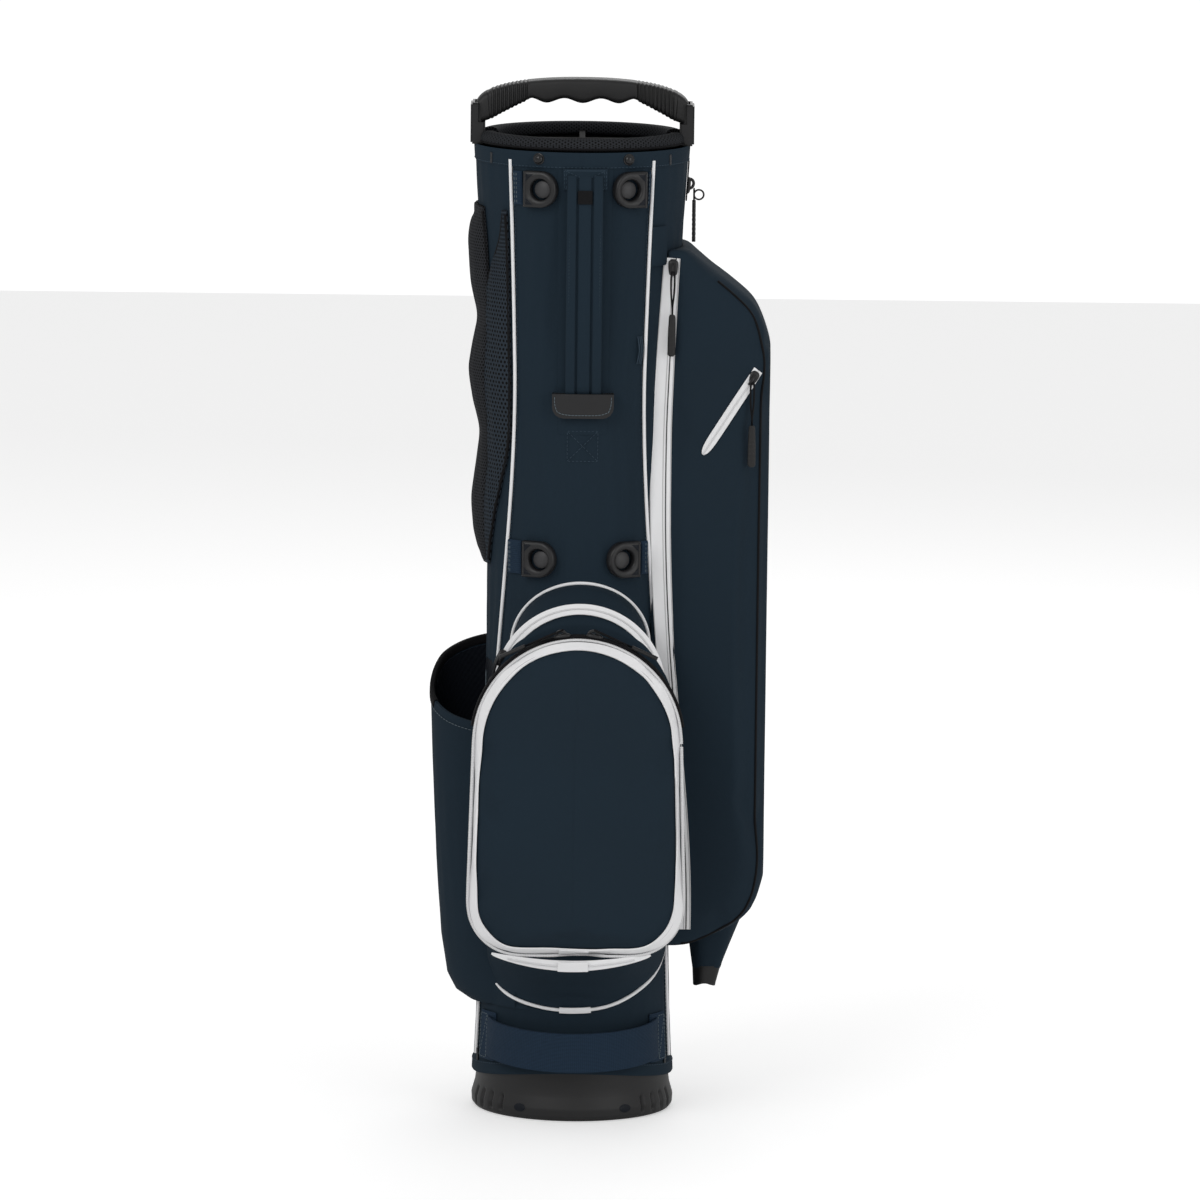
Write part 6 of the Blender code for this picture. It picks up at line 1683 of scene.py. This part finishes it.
class BagSettings(bpy.types.PropertyGroup):
    """Sizes in metres, angles in degrees and linear colours of what is added to the frame."""

    navy: tint("Navy", (0.0118, 0.0228, 0.0345), "Fabric of the trunk and the pockets")
    webbing: tint("Webbing", (0.0095, 0.0200, 0.0360), "Straps and tabs")
    white: tint("White", (0.88, 0.88, 0.89), "Zip tapes and piping")
    ripple: metres("Ripple", 0.0006, "Unevenness of the trunk's fabric")
    seam_dip: metres("Seam Dip", 0.0009, "How far a panel sinks at its seams")
    top_hem_z: metres("Top Hem", 0.829, "Lower edge of the top hem")
    piping_radius: metres("Piping Radius", 0.0015, "Radius of the round piping")
    cuff_width: metres("Cuff Width", 0.0155, "From the cuff's outer to its inner side")
    handle_shoulder: metres("Handle Shoulder", 0.020, "Upright part of the handle above its foot")
    handle_thickness: metres("Handle Thickness", 0.0058, "Of the handle's flat ends")
    grip_thickness: metres("Grip Thickness", 0.0195, "Of the handle's middle")
    grip_half_x: metres("Grip Half Length", 0.046, "From the middle to where the ribs begin")
    grip_slope_x: metres("Grip Slope", 0.0777, "Where the underside meets the ears")
    finger_bump: metres("Finger Bump", 0.0020, "Height of the bumps between the fingers")
    finger_pitch: metres("Finger Pitch", 0.0315, "Distance between those bumps")
    rib_pitch: metres("Rib Pitch", 0.0034, "Distance between the handle's ribs")
    spine_x: metres("Spine Centre", 0.003, "Centre line of the spine")
    spine_width: metres("Spine Strap Width", 0.0308, "Width of the spine handle")
    spine_roll: metres("Spine Roll Width", 0.0082, "Width of each stitched roll")
    spine_bow: metres("Spine Bow", 0.0150, "How far the handle stands off the trunk")
    ring_width: metres("Ring Width", 0.029, "Strap ring across")
    ring_height: metres("Ring Height", 0.031, "Strap ring from foot to top")
    ring_hole: metres("Ring Hole", 0.0092, "Radius of the strap ring's eye")
    slider_width: metres("Slider Width", 0.0086, "Zip slider across")
    slider_length: metres("Slider Length", 0.0145, "Zip slider along its zip")
    slider_height: metres("Slider Height", 0.0036, "Zip slider above its tape")
    slider_drop: metres("Slider Drop", 0.0065, "From a pull's hinge down to its tape")
    cord_radius: metres("Pull Cord Radius", 0.0008, "Cord of the zip pulls")
    grip_width: metres("Pull Grip Width", 0.0068, "Rubber grip of the zip pulls")
    grip_height: metres("Pull Grip Height", 0.0032, "Thickness of that grip")
    arch_x: metres("Arch Centre X", 0.0015, "Centre of the ball pocket's arch")
    arch_z: metres("Arch Centre Z", 0.3450, "Height of that centre")
    arch_radius: metres("Arch Radius", 0.0905, "Radius of the arch")
    arch_low: metres("Arch Foot", 0.158, "Lower edge of the ball pocket")
    arch_spread: metres("Arch Spread", 0.004, "How much wider the pocket is below")
    arch_corner: metres("Arch Corner", 0.046, "Radius of its lower corners")
    ball_puff: metres("Ball Pocket Puff", 0.0060, "Most that its fabric may move when blown up")
    frame_top: metres("Frame Top", 0.0085, "Width of the white frame on the arch")
    frame_side: metres("Frame Side", 0.0118, "Width of the white frame at the sides")
    frame_low: metres("Frame Foot", 0.0108, "Width of the white frame below")
    gusset_drop: metres("Gusset Drop", 0.0095, "How far the lower gusset hangs below the white frame")
    gusset_tape: metres("Gusset Tape", 0.0085, "Width of the white tape on that gusset")
    valuables_tape: metres("Valuables Tape", 0.0100, "Width of the arched zip's tape")
    garment_half_y: metres("Garment Half Depth", 0.048, "Half depth of the garment pocket")
    garment_puff: metres("Garment Pocket Puff", 0.0050, "Most that its fabric may move when blown up")
    diagonal_width: metres("Slanting Tape", 0.0090, "Width of the slanting zip's tape")
    pouch_half_y: metres("Pouch Half Depth", 0.052, "Half depth of the drinks pouch")
    lift_angle: FloatProperty(name="Lift Handle Angle", default=57.0, description="Of its ends, in degrees")
    lift_out: metres("Lift Handle Reach", 0.0175, "How far the lift handle stands off")
    lift_height: metres("Lift Handle Height", 0.0345, "Width of its webbing")
    groove_depth: metres("Groove Depth", 0.0030, "Of the base's flex grooves")
    cloth_frames: bpy.props.IntProperty(name="Cloth Frames", default=18,
                                        description="Length of each cloth run")
    camera_distance: metres("Camera Distance", 7.6, "From the bag's middle to the camera")
    camera_roll: FloatProperty(name="Camera Roll", default=0.63,
                               description="Turn about its line of sight, degrees")
    key_power: FloatProperty(name="Key Light", default=30.0, description="Power of the key light, watts")
    surround: FloatProperty(name="Surround", default=0.55, description="Brightness of the surround")


class GOLFBAG_OT_trunk(bpy.types.Operator):
    """Adds the four sewn panels, their hems and the staples"""

    bl_idname = "golf_bag.trunk"
    bl_label = "Trunk"

    def execute(self, context):
        build_trunk(context.scene.golf_bag)
        return {"FINISHED"}


class GOLFBAG_OT_piping(bpy.types.Operator):
    """Adds the white piping along the front seams"""

    bl_idname = "golf_bag.piping"
    bl_label = "Piping"

    def execute(self, context):
        build_piping(context.scene.golf_bag)
        return {"FINISHED"}


class GOLFBAG_OT_mouth(bpy.types.Operator):
    """Adds the padded roll round the mouth"""

    bl_idname = "golf_bag.mouth"
    bl_label = "Mouth"

    def execute(self, context):
        build_mouth(context.scene.golf_bag)
        return {"FINISHED"}


class GOLFBAG_OT_handle(bpy.types.Operator):
    """Adds the moulded handle over the mouth"""

    bl_idname = "golf_bag.handle"
    bl_label = "Top Handle"

    def execute(self, context):
        build_handle(context.scene.golf_bag)
        return {"FINISHED"}


class GOLFBAG_OT_spine(bpy.types.Operator):
    """Adds the padded spine handle with its patches"""

    bl_idname = "golf_bag.spine"
    bl_label = "Spine Handle"

    def execute(self, context):
        build_spine(context.scene.golf_bag)
        return {"FINISHED"}


class GOLFBAG_OT_rings(bpy.types.Operator):
    """Adds the four strap rings and their tabs"""

    bl_idname = "golf_bag.rings"
    bl_label = "Strap Rings"

    def execute(self, context):
        build_rings(context.scene.golf_bag)
        return {"FINISHED"}


class GOLFBAG_OT_snaps(bpy.types.Operator):
    """Adds the two press studs"""

    bl_idname = "golf_bag.snaps"
    bl_label = "Snaps"

    def execute(self, context):
        build_snaps(context.scene.golf_bag)
        return {"FINISHED"}


class GOLFBAG_OT_valuables(bpy.types.Operator):
    """Adds the pocket behind the ball pocket, its zip and its piping"""

    bl_idname = "golf_bag.valuables"
    bl_label = "Valuables Pocket"

    def execute(self, context):
        build_valuables(context.scene.golf_bag)
        return {"FINISHED"}


class GOLFBAG_OT_ball_pocket(bpy.types.Operator):
    """Adds the padded ball pocket and its zip"""

    bl_idname = "golf_bag.ball_pocket"
    bl_label = "Ball Pocket"

    def execute(self, context):
        build_ball_pocket(context.scene.golf_bag)
        return {"FINISHED"}


class GOLFBAG_OT_garment(bpy.types.Operator):
    """Adds the garment pocket with its zips and piping"""

    bl_idname = "golf_bag.garment"
    bl_label = "Garment Pocket"

    def execute(self, context):
        build_garment(context.scene.golf_bag)
        return {"FINISHED"}


class GOLFBAG_OT_sliders(bpy.types.Operator):
    """Adds the sliders and the pulls that move"""

    bl_idname = "golf_bag.sliders"
    bl_label = "Zip Sliders"

    def execute(self, context):
        build_sliders(context.scene.golf_bag)
        return {"FINISHED"}


class GOLFBAG_OT_pouch(bpy.types.Operator):
    """Adds the open pouch on the left"""

    bl_idname = "golf_bag.pouch"
    bl_label = "Drinks Pouch"

    def execute(self, context):
        build_pouch(context.scene.golf_bag)
        return {"FINISHED"}


class GOLFBAG_OT_pads(bpy.types.Operator):
    """Adds the folded shoulder pads"""

    bl_idname = "golf_bag.pads"
    bl_label = "Shoulder Pads"

    def execute(self, context):
        build_pads(context.scene.golf_bag)
        return {"FINISHED"}


class GOLFBAG_OT_lift_handle(bpy.types.Operator):
    """Adds the webbing handle low on the front"""

    bl_idname = "golf_bag.lift_handle"
    bl_label = "Lift Handle"

    def execute(self, context):
        build_lift_handle(context.scene.golf_bag)
        return {"FINISHED"}


class GOLFBAG_OT_sleeve(bpy.types.Operator):
    """Adds the umbrella sleeve and its toe"""

    bl_idname = "golf_bag.sleeve"
    bl_label = "Umbrella Sleeve"

    def execute(self, context):
        build_sleeve(context.scene.golf_bag)
        return {"FINISHED"}


class GOLFBAG_OT_base(bpy.types.Operator):
    """Adds the moulded base"""

    bl_idname = "golf_bag.base"
    bl_label = "Base"

    def execute(self, context):
        build_base(context.scene.golf_bag)
        return {"FINISHED"}


class GOLFBAG_OT_feet(bpy.types.Operator):
    """Adds the rubber feet of the legs"""

    bl_idname = "golf_bag.feet"
    bl_label = "Leg Feet"

    def execute(self, context):
        build_feet(context.scene.golf_bag)
        return {"FINISHED"}


def area_light(name, place, aim, size, power):
    data = bpy.data.lights.new(name, "AREA")
    data.shape = "RECTANGLE"
    data.size, data.size_y = size
    data.energy = power
    light = bpy.data.objects.new(name, data)
    light.location = place
    light.rotation_euler = (Vector(aim) - Vector(place)).to_track_quat("-Z", "Y").to_euler()
    bpy.context.scene.collection.objects.link(light)


def build_stage(s):
    """A pale floor and a pale surround, soft lights, and a camera with a long lens."""
    scene = bpy.context.scene
    world = bpy.data.worlds.new("surround")
    world.use_nodes = True
    background = world.node_tree.nodes["Background"]
    background.inputs["Color"].default_value = (1.0, 1.0, 1.0, 1.0)
    seen = world.node_tree.nodes.new("ShaderNodeLightPath").outputs["Is Camera Ray"]
    bright = calc(world.node_tree, "MULTIPLY_ADD", seen, 1.05 - s.surround, s.surround)
    world.node_tree.links.new(bright, background.inputs["Strength"])
    scene.world = world
    corners = [(-6.0, -6.0, -0.0006), (6.0, -6.0, -0.0006), (6.0, 6.0, -0.0006), (-6.0, 6.0, -0.0006)]
    mesh = bpy.data.meshes.new("floor")
    mesh.from_pydata(corners, [], [(0, 1, 2, 3)])
    floor = bpy.data.objects.new("floor", mesh)
    material = bpy.data.materials.new("floor")
    material.use_nodes = True
    shader = material.node_tree.nodes["Principled BSDF"]
    shader.inputs["Base Color"].default_value = (0.90, 0.90, 0.90, 1.0)
    shader.inputs["Roughness"].default_value = 0.9
    glow = calc(material.node_tree, "MULTIPLY",
                material.node_tree.nodes.new("ShaderNodeLightPath").outputs[0], 0.36)
    shader.inputs["Emission Color"].default_value = (1.0, 1.0, 1.0, 1.0)
    material.node_tree.links.new(glow, shader.inputs["Emission Strength"])
    mesh.materials.append(material)
    scene.collection.objects.link(floor)
    middle = (0.0, 0.0, 0.45)
    area_light("key", (-1.6, -2.6, 2.4), middle, (1.8, 1.8), s.key_power)
    area_light("fill", (2.2, -2.4, 1.2), middle, (1.6, 2.0), 0.55 * s.key_power)
    area_light("back", (0.6, 2.6, 2.2), middle, (2.0, 1.2), 0.6 * s.key_power)
    camera = bpy.data.objects.new("camera", bpy.data.cameras.new("camera"))
    height = 1.61
    camera.location = (0.0, -s.camera_distance, height)
    aim = (Vector(middle) - camera.location).to_track_quat("-Z", "Y")
    roll = Vector((0.0, 0.0, 1.0))
    camera.rotation_mode = "QUATERNION"
    camera.rotation_quaternion = aim @ Quaternion(roll, math.radians(s.camera_roll))
    camera.data.lens = 265.6
    camera.data.shift_x = 0.0189
    camera.data.shift_y = -0.00477
    camera.data.clip_end = 60.0
    scene.collection.objects.link(camera)
    scene.camera = camera
    scene.view_settings.view_transform = "Standard"


class GOLFBAG_OT_stage(bpy.types.Operator):
    """Adds the floor, the surround, the lights and the camera"""

    bl_idname = "golf_bag.stage"
    bl_label = "Stage"

    def execute(self, context):
        build_stage(context.scene.golf_bag)
        return {"FINISHED"}


class GOLFBAG_PT_panel(bpy.types.Panel):
    """The bag's sizes, and a button for each group of pieces"""

    bl_label = "Golf Stand Bag"
    bl_idname = "GOLFBAG_PT_panel"
    bl_space_type = "VIEW_3D"
    bl_region_type = "UI"
    bl_category = "Golf Bag"

    def draw(self, context):
        settings = context.scene.golf_bag
        for name in BagSettings.__annotations__:
            self.layout.prop(settings, name)
        for group in GROUPS:
            self.layout.operator(group.bl_idname)


GROUPS = (
    GOLFBAG_OT_trunk,
    GOLFBAG_OT_piping,
    GOLFBAG_OT_mouth,
    GOLFBAG_OT_handle,
    GOLFBAG_OT_spine,
    GOLFBAG_OT_rings,
    GOLFBAG_OT_snaps,
    GOLFBAG_OT_valuables,
    GOLFBAG_OT_ball_pocket,
    GOLFBAG_OT_garment,
    GOLFBAG_OT_sliders,
    GOLFBAG_OT_pouch,
    GOLFBAG_OT_pads,
    GOLFBAG_OT_lift_handle,
    GOLFBAG_OT_sleeve,
    GOLFBAG_OT_base,
    GOLFBAG_OT_feet,
    GOLFBAG_OT_stage,
)
CLASSES = (BagSettings, *GROUPS, GOLFBAG_PT_panel)


def register():
    for kind in CLASSES:
        bpy.utils.register_class(kind)
    bpy.types.Scene.golf_bag = PointerProperty(type=BagSettings)


def unregister():
    del bpy.types.Scene.golf_bag
    for kind in reversed(CLASSES):
        bpy.utils.unregister_class(kind)


def main():
    register()
    FINISH["all"] = Finishes(bpy.context.scene.golf_bag)
    bpy.ops.golf_bag.trunk()
    bpy.ops.golf_bag.piping()
    bpy.ops.golf_bag.mouth()
    bpy.ops.golf_bag.handle()
    bpy.ops.golf_bag.spine()
    bpy.ops.golf_bag.rings()
    bpy.ops.golf_bag.snaps()
    bpy.ops.golf_bag.valuables()
    bpy.ops.golf_bag.ball_pocket()
    bpy.ops.golf_bag.garment()
    bpy.ops.golf_bag.sliders()
    bpy.ops.golf_bag.pouch()
    bpy.ops.golf_bag.pads()
    bpy.ops.golf_bag.lift_handle()
    bpy.ops.golf_bag.sleeve()
    bpy.ops.golf_bag.base()
    bpy.ops.golf_bag.feet()
    bpy.ops.golf_bag.stage()
    paint_frame()


if __name__ == "__main__":
    main()
